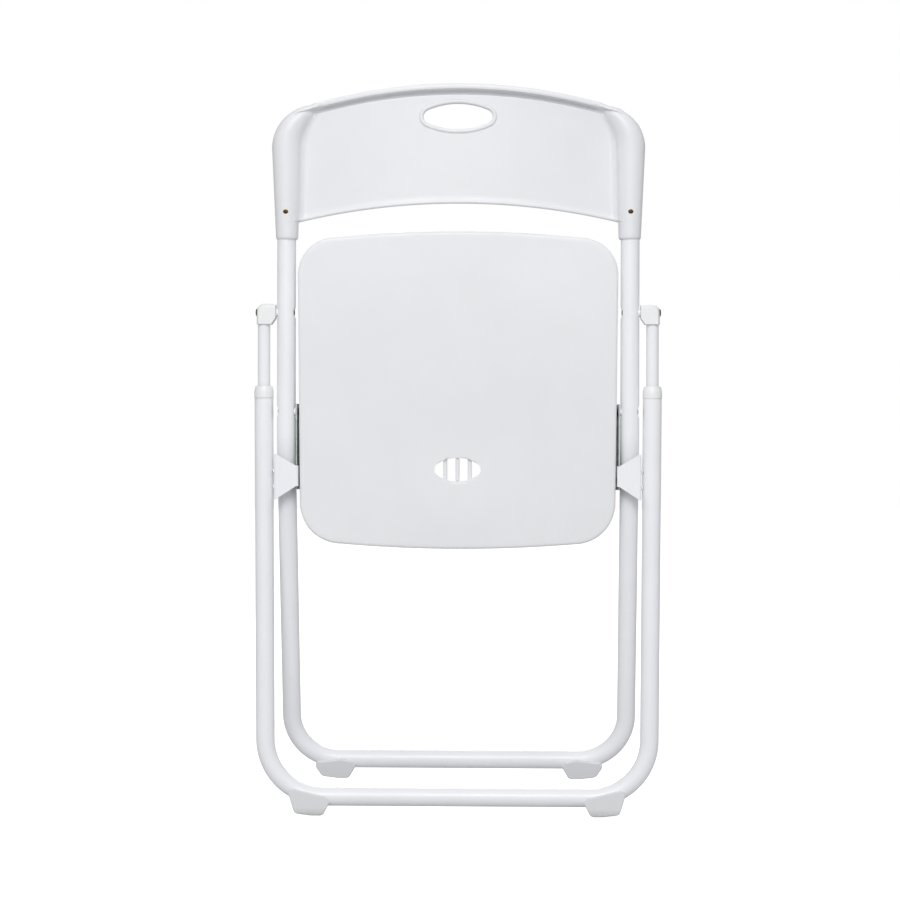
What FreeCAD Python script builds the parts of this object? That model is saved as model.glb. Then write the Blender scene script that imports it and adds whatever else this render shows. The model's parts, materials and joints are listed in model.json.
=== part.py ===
import FreeCAD, Part
import math
import os
import Sketcher
from FreeCAD import Placement, Rotation, Vector

# A folding chair with a steel tube frame and a moulded seat and backrest, standing folded flat.
# X is the width, the chair's back faces -Y, +Z is up, and the rear feet stand on Z = 0.
# Everything is drawn about the plane of the pivots and then moved to hinge_plane_y, which puts
# the middle of the folded chair's depth on Y = 0.

doc = FreeCAD.newDocument("FoldingChair")

# ---------------------------------------------------------------- driving dimensions, in mm
DIMENSIONS = [
    ("hinge_plane_y", -44.35, "plane of the pivots, from the middle of the folded depth"),
    ("tube_radius", 11.0, "frame tube, 22 mm outside"),
    ("tube_wall", 0.8, "frame tube wall"),
    ("front_x", 202.2, "front frame leg, centre line"),
    ("front_top", 780.0, "front frame leg, top end inside the backrest"),
    ("front_lean", 14.0, "degrees the front legs lean forwards below the bend"),
    ("lean_bend_z", 441.0, "corner of that bend"),
    ("front_join_z", 452.0, "where the straight upper legs meet the bent length"),
    ("lean_bend_radius", 60.0, "centre line radius of that bend"),
    ("front_reach", 399.0, "from that bend to the front crossbar, along the leaning legs"),
    ("front_bend_radius", 57.0, "front crossbar bends, centre line"),
    ("rear_x", 228.7, "rear frame leg, centre line beside the slide rods"),
    ("rear_foot_x", 225.7, "rear frame leg, centre line at the crossbar bend"),
    ("rear_top", 490.0, "rear frame leg, top end under its collar"),
    ("rear_crossbar_z", 21.0, "rear crossbar, centre line"),
    ("rear_bend_radius", 68.0, "rear crossbar bends, centre line"),
    ("rod_pivot_z", 591.4, "pivot of the slide rods on the front frame"),
    ("seat_pivot_z", 475.0, "pivot of the seat on the front frame"),
    ("rear_pivot_y", 6.0, "pivot of the rear frame on the seat, forward of the pivot plane"),
    ("rear_pivot_z", 393.0, "pivot of the rear frame on the seat"),
    ("rivet_radius", 3.0, "pivot rivets"),
    ("rivet_gap", 0.06, "running clearance round a pivot rivet"),
    ("dimple_radius", 5.6, "flats pressed into the tube under the rivets"),
    ("dimple_depth", 2.4, "depth of those flats"),
    ("rod_radius", 7.3, "slide rod"),
    ("rod_wall", 1.2, "slide rod wall"),
    ("rod_top", 587.6, "slide rod, end inside the knuckle"),
    ("rod_bottom", 455.0, "slide rod, end inside the rear tube"),
    ("collar_bore", 9.6, "radius the rod slides in, wide because the linkage swings it a little"),
    ("collar_radius", 11.35, "collar cap"),
    ("collar_top", 504.9, "top of the collar cap"),
    ("collar_chamfer", 1.6, "width of the chamfer round the top of the collar cap"),
    ("collar_shoulder", 499.3, "foot of that chamfer"),
    ("collar_plug_bottom", 466.0, "lower end of the collar's plug in the tube"),
    ("collar_play", 0.2, "play round the plug, because the tube leans a little"),
    ("knuckle_inner_x", 214.5, "knuckle face beside the front frame"),
    ("knuckle_outer_x", 237.2, "knuckle outer end"),
    ("knuckle_boss_radius", 10.6, "knuckle round the rivet"),
    ("knuckle_socket_radius", 8.5, "knuckle round the rod"),
    ("knuckle_bottom", 577.4, "knuckle lower end"),
    ("knuckle_round", 6.5, "rounding of the knuckle's outer end"),
    ("rail_x", 188.8, "seat rail, inner face"),
    ("rail_thickness", 1.7, "seat rail steel"),
    ("rail_back_y", -6.5, "seat rail, edge under the seat's rim"),
    ("rail_flange", 21.0, "seat rail, width of the flange under the seat"),
    ("rail_bottom", 362.0, "seat rail, rear end"),
    ("rail_top", 512.0, "seat rail, front end"),
    ("rail_ear_low", 383.0, "seat rail, rear end of the upright beside the seat"),
    ("rail_ear_high", 484.0, "seat rail, front end of that upright"),
    ("rail_ear_x", 185.2, "seat rail, where it is cut back beyond the upright"),
    ("rail_screw_x", 174.5, "seat rail screws"),
    ("rail_screw_radius", 2.0, "seat rail screw shank"),
    ("bracket_inner_x", 187.0, "bracket, flange between the seat and its rail"),
    ("bracket_outer_x", 215.6, "bracket, flange beside the rear tube"),
    ("bracket_steel", 1.6, "bracket steel"),
    ("bracket_back_y", -12.4, "bracket web, rear face"),
    ("bracket_rivet_y", -3.0, "bracket rivets"),
    ("bracket_rivet_low", 386.0, "lower bracket rivet"),
    ("bracket_rivet_high", 404.0, "upper bracket rivet"),
    ("bracket_rivet_radius", 2.0, "bracket rivet shank"),
    ("seat_top_x", 188.6, "half the seat's width at its front end"),
    ("seat_low_x", 184.8, "half the seat's width at its rear end"),
    ("seat_top", 674.2, "seat's front corners before rounding"),
    ("seat_low", 324.7, "seat's rear corners before rounding"),
    ("seat_top_radius", 1447.0, "curve of the seat's front edge"),
    ("seat_low_radius", 1616.0, "curve of the seat's rear edge"),
    ("seat_top_corner", 44.0, "front corner rounding"),
    ("seat_low_corner", 48.0, "rear corner rounding"),
    ("seat_back_y", -11.0, "sitting face"),
    ("seat_plate", 4.0, "seat plate thickness"),
    ("seat_depth_y", 12.0, "lower edge of the seat's skirt"),
    ("seat_step", 4.5, "skirt, set in from the rim"),
    ("seat_wall", 2.6, "skirt and rib thickness"),
    ("vent_z", 406.7, "middle of the seat's vent"),
    ("vent_width", 55.0, "vent, across"),
    ("vent_height", 28.0, "vent, along"),
    ("vent_bar", 4.8, "bars across the vent"),
    ("vent_pitch", 14.4, "spacing of those bars"),
    ("back_low", 677.0, "lower ends of the backrest sleeves"),
    ("back_crown", 858.2, "backrest, top of its upper edge"),
    ("back_top_radius", 691.0, "curve of the backrest's upper edge"),
    ("back_low_x", 215.0, "half the backrest's width at the sleeve ends"),
    ("back_top_x", 220.4, "half the backrest's width at its upper corners"),
    ("back_corner", 50.0, "upper corner rounding"),
    ("back_panel_x", 187.0, "half the width of the panel between the sleeves"),
    ("back_panel_low", 698.5, "lower edge of the panel beside the sleeves"),
    ("back_panel_radius", 884.0, "curve of the panel's lower edge"),
    ("back_bow_radius", 875.0, "bow of the panel across the sitter's back"),
    ("back_bow_y", 6.0, "rear face of the panel where it meets the sleeves"),
    ("back_panel", 4.5, "panel thickness"),
    ("back_lip", 6.4, "height of the lip along the upper edge"),
    ("back_lip_depth", 9.0, "lip, out from the rear face of the panel"),
    ("sleeve_low_radius", 13.6, "sleeve, lower end"),
    ("sleeve_top_radius", 18.4, "sleeve, upper end"),
    ("handle_z", 820.5, "middle of the hand hole"),
    ("handle_width", 81.0, "hand hole, across"),
    ("handle_height", 30.0, "hand hole, high"),
    ("handle_rim", 5.2, "raised rim round the hand hole"),
    ("handle_rim_y", -17.2, "rear face of that rim"),
    ("back_screw_z", 709.3, "backrest screws"),
    ("back_screw_radius", 1.9, "backrest screw shank"),
    ("back_screw_head", 3.6, "backrest screw head"),
    ("foot_half_depth", 13.2, "half the depth of a foot"),
    ("rear_foot_inner", 147.7, "rear foot, inner end"),
    ("front_foot_inner", 123.5, "front foot, inner end"),
    ("foot_length", 49.5, "foot along the crossbar"),
]


def fill_sheet():
    """Write the dimensions into the sheet, one to a row, each with its own alias."""
    sheet = doc.addObject("Spreadsheet::Sheet", "Dims")
    for row, (alias, value, note) in enumerate(DIMENSIONS, start=1):
        sheet.set(f"A{row}", alias)
        sheet.set(f"B{row}", str(value))
        sheet.setAlias(f"B{row}", alias)
        sheet.set(f"C{row}", note)
    doc.recompute()
    return sheet


dims = fill_sheet()


def expression(text):
    """The text as an expression whose bare names are cells of the sheet."""
    for alias in sorted((row[0] for row in DIMENSIONS), key=len, reverse=True):
        text = text.replace(f"[{alias}]", f"Dims.{alias}")
    return text


def value(text):
    """What an expression over the sheet comes to now."""
    return float(dims.evalExpression(expression(str(text))))


def bind(thing, **properties):
    """Bind properties to expressions; a double underscore stands for a dot in the name."""
    for name, text in properties.items():
        thing.setExpression(name.replace("__", "."), expression(str(text)))


NODES = []


def finish_node(thing, label):
    """Name the sub-part and move it from the pivot plane to its place in the chair."""
    thing.Label = label
    bind(thing, Placement__Base__y="[hinge_plane_y]")
    NODES.append(thing)
    return thing


# ---------------------------------------------------------------- drawing
PLANES = {"X": "YZ_Plane", "Y": "XZ_Plane", "Z": "XY_Plane"}


def new_body(label):
    return doc.addObject("PartDesign::Body", label + "_body")


def new_sketch(body, axis, place):
    """A sketch across the axis, at the given place along it. Across Y it faces -Y."""
    plane = next(f for f in body.Origin.OriginFeatures if f.Role == PLANES[axis])
    sketch = body.newObject("Sketcher::SketchObject", "Sketch")
    sketch.AttachmentSupport = [(plane, "")]
    sketch.MapMode = "FlatFace"
    sign = "-1 * " if axis == "Y" else ""
    bind(sketch, AttachmentOffset__Base__z=f"{sign}({place})")
    return sketch


def pin_point(sketch, geometry, point, u, v):
    """Hold a point of the sketch at the distances u and v from its origin."""
    for kind, text in (("DistanceX", u), ("DistanceY", v)):
        index = sketch.addConstraint(Sketcher.Constraint(kind, -1, 1, geometry, point, value(text)))
        sketch.setExpression(f"Constraints[{index}]", expression(str(text)))


def draw_circle(sketch, u, v, radius):
    circle = Part.Circle(Vector(value(u), value(v), 0), Vector(0, 0, 1), value(radius))
    geometry = sketch.addGeometry(circle)
    pin_point(sketch, geometry, 3, u, v)
    index = sketch.addConstraint(Sketcher.Constraint("Radius", geometry, value(radius)))
    sketch.setExpression(f"Constraints[{index}]", expression(str(radius)))


def draw_arc(sketch, start, end, radius, turn):
    """An arc from start to end, turning left (1) or right (-1). Returns it and its end points."""
    chord = end - start
    middle = (start + end) * 0.5
    reach = math.sqrt(max(value(radius) ** 2 - (chord.Length / 2) ** 2, 0.0))
    left = Vector(-chord.y, chord.x, 0).normalize()
    centre = middle + left * (reach * turn)
    first, last = (start, end) if turn > 0 else (end, start)
    low = math.atan2(first.y - centre.y, first.x - centre.x)
    high = math.atan2(last.y - centre.y, last.x - centre.x)
    circle = Part.Circle(centre, Vector(0, 0, 1), value(radius))
    geometry = sketch.addGeometry(Part.ArcOfCircle(circle, low, high))
    index = sketch.addConstraint(Sketcher.Constraint("Radius", geometry, value(radius)))
    sketch.setExpression(f"Constraints[{index}]", expression(str(radius)))
    return (geometry, 1, 2) if turn > 0 else (geometry, 2, 1)


def draw_outline(sketch, points, closed=True):
    """Lines and arcs through the points. A point with a radius and a turn starts an arc."""
    places = [Vector(value(p[0]), value(p[1]), 0) for p in points]
    count = len(points) if closed else len(points) - 1
    runs = []
    for i in range(count):
        start, end = places[i], places[(i + 1) % len(points)]
        if len(points[i]) == 4:
            runs.append(draw_arc(sketch, start, end, points[i][2], points[i][3]))
        else:
            runs.append((sketch.addGeometry(Part.LineSegment(start, end)), 1, 2))
    for i in range(count if closed else count - 1):
        here, there = runs[i], runs[(i + 1) % len(runs)]
        sketch.addConstraint(Sketcher.Constraint("Coincident", here[0], here[2], there[0], there[1]))
    for i, run in enumerate(runs):
        pin_point(sketch, run[0], run[1], points[i][0], points[i][1])
    if not closed:
        pin_point(sketch, runs[-1][0], runs[-1][2], points[-1][0], points[-1][1])


def layer(body, axis, low, high, drawings, cut=False):
    """Pad, or with cut pocket, everything drawn between two places along the axis."""
    start = high if cut != (axis == "Y") else low
    sketch = new_sketch(body, axis, start)
    for draw, *arguments in drawings:
        draw(sketch, *arguments)
    feature = body.newObject("PartDesign::Pocket" if cut else "PartDesign::Pad", "Layer")
    feature.Profile = (sketch, [""])
    bind(feature, Length=f"({high}) - ({low})")
    doc.recompute()
    return feature


def round_edges(body, radius, wanted):
    """Fillet the body's edges that the test picks."""
    base = body.Tip
    names = [f"Edge{i}" for i, edge in enumerate(base.Shape.Edges, start=1) if wanted(edge)]
    feature = body.newObject("PartDesign::Fillet", "Rounding")
    feature.Base = (base, names)
    bind(feature, Radius=radius)
    doc.recompute()
    return feature


def runs_along(edge, axis):
    """Whether an edge is a straight line along X, Y or Z."""
    if not isinstance(edge.Curve, (Part.Line, Part.LineSegment)):
        return False
    span = edge.Vertexes[-1].Point - edge.Vertexes[0].Point
    return abs(getattr(span, axis.lower())) > 0.99 * span.Length


# ---------------------------------------------------------------- primitives and booleans
TURNS = {"X": Rotation(Vector(0, 1, 0), 90), "Y": Rotation(Vector(1, 0, 0), -90), "Z": Rotation()}


def cylinder(axis, low, high, across, radius):
    """A cylinder along the axis from low to high; across holds its other two coordinates."""
    piece = doc.addObject("Part::Cylinder", "Round")
    piece.Placement = Placement(Vector(), TURNS[axis])
    bind(piece, Radius=radius, Height=f"({high}) - ({low})")
    place = dict(zip([name for name in "XYZ" if name != axis], across))
    place[axis] = low
    bind(piece, **{f"Placement__Base__{name.lower()}": text for name, text in place.items()})
    return piece


def fuse(pieces):
    joined = doc.addObject("Part::MultiFuse", "Joined")
    joined.Shapes = pieces
    doc.recompute()
    return joined


def cut(base, *tools):
    for tool in tools:
        trimmed = doc.addObject("Part::Cut", "Trimmed")
        trimmed.Base = base
        trimmed.Tool = tool
        base = trimmed
    doc.recompute()
    return base


def common(base, tool):
    shared = doc.addObject("Part::Common", "Shared")
    shared.Base = base
    shared.Tool = tool
    doc.recompute()
    return shared


def group(pieces):
    """Separate solids kept together as one node."""
    compound = doc.addObject("Part::Compound", "Group")
    compound.Links = pieces
    doc.recompute()
    return compound


SIDES = (("left", -1), ("right", 1))


def order(side, first, second):
    """Two places on one side of the chair as expressions, the lower first."""
    ends = [f"{side} * ({first})", f"{side} * ({second})"]
    return sorted(ends, key=value)


# ---------------------------------------------------------------- front frame tube
def path_wire(corners):
    """Straight runs joined by tangent arcs; each corner is a point and its arc radius."""
    edges = []
    start = corners[0][0]
    for i in range(1, len(corners) - 1):
        point, radius = corners[i]
        before = (corners[i - 1][0] - point).normalize()
        after = (corners[i + 1][0] - point).normalize()
        turn = math.pi - before.getAngle(after)
        inset = radius * math.tan(turn / 2)
        enter = point + before * inset
        leave = point + after * inset
        inward = (before + after).normalize()
        bulge = radius / math.cos(turn / 2) - radius
        edges.append(Part.LineSegment(start, enter).toShape())
        edges.append(Part.Arc(enter, point + inward * bulge, leave).toShape())
        start = leave
    edges.append(Part.LineSegment(start, corners[-1][0]).toShape())
    return Part.Wire(edges)


def sweep_round(path, radius, start):
    """A round bar along the path, from a circle at its upper left end."""
    circle = doc.addObject("Part::Circle", "Section")
    bind(circle, Radius=radius, Placement__Base__x=start[0], Placement__Base__z=start[1])
    bar = doc.addObject("Part::Sweep", "Bar")
    bar.Sections = [circle]
    bar.Spine = (path, [f"Edge{i}" for i in range(1, len(path.Shape.Edges) + 1)])
    bar.Solid = True
    bar.Frenet = True
    doc.recompute()
    return bar


def dimple_and_hole(side, pivot_z):
    """What pressed flats leave solid inside the tube and remove outside, at both ends of a rivet."""
    adds, removes = [], []
    for face in (-1, 1):
        floor = f"[front_x] + {face} * ([tube_radius] - [dimple_depth])"
        back = f"[front_x] + {face} * ([tube_radius] - [dimple_depth] - [tube_wall])"
        beyond = f"[front_x] + {face} * ([tube_radius] + 2)"
        across = ("0", pivot_z)
        adds.append(cylinder("X", *order(side, back, beyond), across, "[dimple_radius] + [tube_wall]"))
        removes.append(cylinder("X", *order(side, floor, beyond), across, "[dimple_radius]"))
    hole = order(side, "[front_x] - 2 * [tube_radius]", "[front_x] + 2 * [tube_radius]")
    removes.append(cylinder("X", *hole, ("0", pivot_z), "[rivet_radius] + [rivet_gap]"))
    return adds, removes


def front_leg(side):
    """The straight upper part of a leg, with its pressed flats and holes."""
    across = (f"{side} * [front_x]", "0")
    bar = cylinder("Z", "[front_join_z]", "[front_top]", across, "[tube_radius]")
    core = cylinder("Z", "[front_join_z]", "[front_top]", across, "[tube_radius] - [tube_wall]")
    adds, removes = [], []
    for pivot_z in ("[rod_pivot_z]", "[seat_pivot_z]"):
        extra, gone = dimple_and_hole(side, pivot_z)
        adds += extra
        removes += gone
    screw = (f"{side} * [front_x]", "[back_screw_z]")
    removes.append(cylinder("Y", "-2 * [tube_radius]", "0", screw, "[back_screw_radius]"))
    return cut(bar, cut(core, *adds), *removes)


def main_tube():
    """Two straight upper legs, and below them one length bent forwards and across."""
    lean = math.radians(value("[front_lean]"))
    reach, bend_z, join = value("[front_reach]"), value("[lean_bend_z]"), value("[front_join_z]")
    foot = (reach * math.sin(lean), bend_z - reach * math.cos(lean))
    x = value("[front_x]")
    lean_radius, foot_radius = value("[lean_bend_radius]"), value("[front_bend_radius]")
    corners = [(Vector(-x, 0, join), 0)]
    corners.append((Vector(-x, 0, bend_z), lean_radius))
    corners.append((Vector(-x, *foot), foot_radius))
    corners.append((Vector(x, *foot), foot_radius))
    corners.append((Vector(x, 0, bend_z), lean_radius))
    corners.append((Vector(x, 0, join), 0))
    path = doc.addObject("Part::Feature", "FrontPath")
    path.Shape = path_wire(corners)
    start = ("-1 * [front_x]", "[front_join_z]")
    outer = sweep_round(path, "[tube_radius]", start)
    inner = sweep_round(path, "[tube_radius] - [tube_wall]", start)
    tube = fuse([front_leg(-1), cut(outer, inner), front_leg(1)])
    return finish_node(tube, "main_tube"), outer


_, front_bar = main_tube()


# ---------------------------------------------------------------- rear frame tube
def rear_tube():
    """One length of tube in the pivot plane, its legs closing in slightly towards the crossbar."""
    x, foot_x = value("[rear_x]"), value("[rear_foot_x]")
    top, low, radius = value("[rear_top]"), value("[rear_crossbar_z]"), value("[rear_bend_radius]")
    corners = [(Vector(-x, 0, top), 0), (Vector(-foot_x, 0, low), radius)]
    corners += [(Vector(foot_x, 0, low), radius), (Vector(x, 0, top), 0)]
    path = doc.addObject("Part::Feature", "RearPath")
    path.Shape = path_wire(corners)
    start = ("-1 * [rear_x]", "[rear_top]")
    outer = sweep_round(path, "[tube_radius]", start)
    inner = sweep_round(path, "[tube_radius] - [tube_wall]", start)
    holes = []
    for _, side in SIDES:
        for z in ("[bracket_rivet_low]", "[bracket_rivet_high]"):
            places = order(side, "[rear_x] - [tube_radius] - 2", "[rear_x]")
            holes.append(cylinder("X", *places, ("[bracket_rivet_y]", z), "[bracket_rivet_radius]"))
    return finish_node(cut(cut(outer, inner), *holes), "rear_tube"), outer


_, rear_bar = rear_tube()


# ---------------------------------------------------------------- feet
def foot_blank(inner, middle, rise):
    """A block under a crossbar bend: middle is the crossbar's height, rise the outer top corner."""
    body = new_body("foot")
    outer = f"({inner} + [foot_length])"
    points = [(inner, f"{middle} - 5"), (f"{inner} + 9", f"{middle} - 21")]
    points.append((f"{inner} + 23", f"{middle} - 21"))
    points.append((f"{outer} - 7.5", f"{middle} - 18.5"))
    points.append((outer, f"{middle} + {rise} - 8"))
    points.append((outer, f"{middle} + {rise}"))
    points.append((f"{outer} - 8", f"{middle} + {rise}"))
    layer(body, "Y", "-1 * [foot_half_depth]", "[foot_half_depth]", [(draw_outline, points)])
    round_edges(body, "2", lambda edge: runs_along(edge, "Y") and edge.CenterOfMass.z < value(middle))
    return body


def mirrored(piece):
    twin = doc.addObject("Part::Mirroring", "Twin")
    twin.Source = piece
    twin.Normal = Vector(1, 0, 0)
    doc.recompute()
    return twin


def rear_feet():
    blank = foot_blank("[rear_foot_inner]", "[rear_crossbar_z]", "12")
    finish_node(cut(blank, rear_bar), "rear_foot_right")
    finish_node(cut(mirrored(blank), rear_bar), "rear_foot_left")


def front_feet():
    """The front feet lean with the front legs."""
    blank = foot_blank("[front_foot_inner]", "[lean_bend_z] - [front_reach]", "2")
    lean = Rotation(Vector(1, 0, 0), value("[front_lean]"))
    for label, block in (("front_foot_right", blank), ("front_foot_left", mirrored(blank))):
        leaning = doc.addObject("Part::Compound", "Leaning")
        leaning.Links = [block]
        centre = Vector(0, 0, value("[lean_bend_z]"))
        leaning.Placement = Placement(Vector(), lean, centre)
        finish_node(cut(leaning, front_bar), label)


rear_feet()
front_feet()


# ---------------------------------------------------------------- slide rods, collars, knuckles
def collar(name, side):
    """A turned plastic cap on the rear tube, with a thin plug down inside it."""
    body = new_body("tube_collar_" + name)
    sketch = new_sketch(body, "Y", "0")
    bind(sketch, AttachmentOffset__Base__x=f"{side} * [rear_x]")
    plug = "[tube_radius] - [tube_wall] - [collar_play]"
    seat = "[rear_top] + [collar_play] / 2"
    points = [("[collar_bore]", "[collar_plug_bottom]"), (plug, "[collar_plug_bottom]")]
    points += [(plug, seat), ("[collar_radius]", seat)]
    points += [("[collar_radius]", "[collar_shoulder]")]
    points += [("[collar_radius] - [collar_chamfer]", "[collar_top]"), ("[collar_bore]", "[collar_top]")]
    draw_outline(sketch, points)
    turned = body.newObject("PartDesign::Revolution", "Turned")
    turned.Profile = (sketch, [""])
    turned.ReferenceAxis = (sketch, ["V_Axis"])
    turned.Angle = 360
    doc.recompute()
    return finish_node(body, "tube_collar_" + name)


def slide_rod(name, side):
    body = new_body("slide_rod_" + name)
    place = (f"{side} * [rear_x]", "0")
    rings = [(draw_circle, *place, "[rod_radius]"), (draw_circle, *place, "[rod_radius] - [rod_wall]")]
    layer(body, "Z", "[rod_bottom]", "[rod_top]", rings)
    return finish_node(body, "slide_rod_" + name)


def knuckle(name, side):
    """A moulded elbow: a boss round the rivet and a socket for the rod."""
    body = new_body("knuckle_" + name)
    layer(body, "X", *order(side, "[knuckle_inner_x]", "[knuckle_outer_x]"),
          [(draw_circle, "0", "[rod_pivot_z]", "[knuckle_boss_radius]")])
    outer = value("[knuckle_outer_x]")
    round_edges(body, "[knuckle_round]", lambda edge: abs(abs(edge.CenterOfMass.x) - outer) < 0.1)
    place = (f"{side} * [rear_x]", "0")
    layer(body, "Z", "[knuckle_bottom]", "[rod_pivot_z]",
          [(draw_circle, *place, "[knuckle_socket_radius]")])
    layer(body, "Z", "[knuckle_bottom]", "[rod_top]", [(draw_circle, *place, "[rod_radius]")], cut=True)
    layer(body, "X", *order(side, "[knuckle_inner_x] - 1", "[knuckle_outer_x] + 1"),
          [(draw_circle, "0", "[rod_pivot_z]", "[rivet_radius] + [rivet_gap]")], cut=True)
    return finish_node(body, "knuckle_" + name)


for side_name, side_sign in SIDES:
    collar(side_name, side_sign)
    slide_rod(side_name, side_sign)
    knuckle(side_name, side_sign)


# ---------------------------------------------------------------- pivot rivets and spacers
def rivet(side, start, end, across, heads, radius="[rivet_radius]"):
    """A shank from start to end, with a head at each end: its inner and outer edge and radius."""
    pieces = [cylinder("X", *order(side, start, end), across, radius)]
    for near, far, head_radius in heads:
        pieces.append(cylinder("X", *order(side, near, far), across, head_radius))
    return fuse(pieces)


def pivot_rivets():
    inner_floor = "[front_x] - [tube_radius] + [dimple_depth]"
    outer_floor = "[front_x] + [tube_radius] - [dimple_depth]"
    rod_rivets, rod_washers, seat_rivets, seat_washers, rear_rivets = [], [], [], [], []
    hole = "[rivet_radius] + [rivet_gap]"
    for _, side in SIDES:
        across = ("0", "[rod_pivot_z]")
        outer_end = "[knuckle_outer_x] + 1.6"
        heads = [(f"{inner_floor} - 1.5", inner_floor, "5"), ("[knuckle_outer_x]", outer_end, "4.6")]
        rod_rivets.append(rivet(side, inner_floor, "[knuckle_outer_x]", across, heads))
        ring = cylinder("X", *order(side, outer_floor, "[knuckle_inner_x] - 0.1"), across, "5.3")
        bore = cylinder("X", *order(side, f"{outer_floor} - 1", "[knuckle_inner_x] + 1"), across, hole)
        rod_washers.append(cut(ring, bore))
        across = ("0", "[seat_pivot_z]")
        heads = [("[rail_x] - 1.8", "[rail_x] - 0.1", "5"), (outer_floor, f"{outer_floor} + 1.6", "5")]
        seat_rivets.append(rivet(side, "[rail_x] - 0.1", outer_floor, across, heads))
        ring = cylinder("X", *order(side, "[rail_x] + [rail_thickness] + 0.1", inner_floor), across, "5.3")
        bore = cylinder("X", *order(side, "[rail_x]", f"{inner_floor} + 1"), across, hole)
        seat_washers.append(cut(ring, bore))
        across = ("[rear_pivot_y]", "[rear_pivot_z]")
        flush = "[rail_x] + [rail_thickness] + 0.1"
        heads = [("[bracket_inner_x] - 1.6", "[bracket_inner_x] - 0.1", "5")]
        rear_rivets.append(rivet(side, "[bracket_inner_x] - 0.1", flush, across, heads))
    finish_node(group(rod_rivets), "rod_pivot_rivets")
    finish_node(group(rod_washers), "rod_pivot_washers")
    finish_node(group(seat_rivets), "seat_pivot_rivets")
    finish_node(group(seat_washers), "seat_pivot_washers")
    finish_node(group(rear_rivets), "rear_pivot_rivets")


pivot_rivets()


# ---------------------------------------------------------------- seat rails and brackets
SCREW_HEIGHTS = ["[rail_bottom] + 14", "([rail_bottom] + [rail_top]) / 2", "[rail_top] - 14"]


def seat_rail(name, side):
    """A pressed steel angle beside and under the seat, which carries both pivots."""
    body = new_body("seat_rail_" + name)
    inner, outer = "[rail_x]", "([rail_x] + [rail_thickness])"
    under = "([seat_depth_y] + [rail_thickness])"
    tip = f"({outer} - [rail_flange])"
    corners = [(outer, "[rail_back_y]"), (outer, under), (tip, under)]
    corners += [(tip, "[seat_depth_y]"), (inner, "[seat_depth_y]"), (inner, "[rail_back_y]")]
    points = [(f"{side} * {u}", v) for u, v in corners]
    layer(body, "Z", "[rail_bottom]", "[rail_top]", [(draw_outline, points[::side])])
    hole = "[rivet_radius] + [rivet_gap]"
    pivots = [("0", "[seat_pivot_z]", hole), ("[rear_pivot_y]", "[rear_pivot_z]", "[rivet_radius]")]
    layer(body, "X", *order(side, "[rail_x] - 1", "[rail_x] + [rail_thickness] + 1"),
          [(draw_circle, *pivot) for pivot in pivots], cut=True)
    ends = []
    beyond = f"{outer} + 1"
    for near, far in (("[rail_ear_high]", "[rail_top] + 1"), ("[rail_bottom] - 1", "[rail_ear_low]")):
        corners = [("[rail_ear_x]", near), (beyond, near), (beyond, far), ("[rail_ear_x]", far)]
        ends.append([(f"{side} * ({u})", v) for u, v in corners])
    layer(body, "Y", "[rail_back_y] - 1", f"{under} + 1", [(draw_outline, end) for end in ends], cut=True)
    screws = [(f"{side} * [rail_screw_x]", z, "[rail_screw_radius]") for z in SCREW_HEIGHTS]
    layer(body, "Y", "[seat_depth_y] - 1", "[seat_depth_y] + [rail_thickness] + 1",
          [(draw_circle, *screw) for screw in screws], cut=True)
    return finish_node(body, "seat_rail_" + name)


def rail_screws():
    """Three pan head screws up through each rail into the seat."""
    screws = []
    under = "[seat_depth_y] + [rail_thickness]"
    for _, side in SIDES:
        for z in SCREW_HEIGHTS:
            across = (f"{side} * [rail_screw_x]", z)
            shank = cylinder("Y", "[seat_depth_y] - 12", under, across, "[rail_screw_radius]")
            head = cylinder("Y", under, f"{under} + 2.2", across, "4")
            screws.append(fuse([shank, head]))
    return finish_node(group(screws), "seat_rail_screws")


def bracket(name, side):
    """A stamped steel channel: a web across the back of the front leg, and a flange each side."""
    body = new_body("bracket_" + name)
    inner, outer = f"{side} * [bracket_inner_x]", f"{side} * [bracket_outer_x]"
    web = [(inner, "387"), (outer, "370.5"), (outer, "426"), (inner, "411")]
    front = "([bracket_back_y] + [bracket_steel])"
    layer(body, "Y", "[bracket_back_y]", front, [(draw_outline, web[::side])])
    back = "[bracket_back_y]"
    inner_flange = [(back, "387"), ("7", "387.6"), ("10.6", "390"), ("11.6", "393"), ("10.6", "396")]
    inner_flange += [("6", "400"), (back, "411")]
    layer(body, "X", *order(side, "[bracket_inner_x]", "[bracket_inner_x] + [bracket_steel]"),
          [(draw_outline, inner_flange)])
    outer_flange = [(back, "370.5"), ("4", "376"), ("7", "380"), ("7", "412"), ("2", "420"), (back, "426")]
    layer(body, "X", *order(side, "[bracket_outer_x] - [bracket_steel]", "[bracket_outer_x]"),
          [(draw_outline, outer_flange)])
    pivot = ("[rear_pivot_y]", "[rear_pivot_z]", "[rivet_radius] + [rivet_gap]")
    layer(body, "X", *order(side, "[bracket_inner_x] - 1", "[bracket_inner_x] + [bracket_steel] + 1"),
          [(draw_circle, *pivot)], cut=True)
    holes = [("[bracket_rivet_y]", z, "[bracket_rivet_radius]")
             for z in ("[bracket_rivet_low]", "[bracket_rivet_high]")]
    layer(body, "X", *order(side, "[bracket_outer_x] - [bracket_steel] - 1", "[bracket_outer_x] + 1"),
          [(draw_circle, *hole) for hole in holes], cut=True)
    return finish_node(body, "bracket_" + name)


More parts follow.
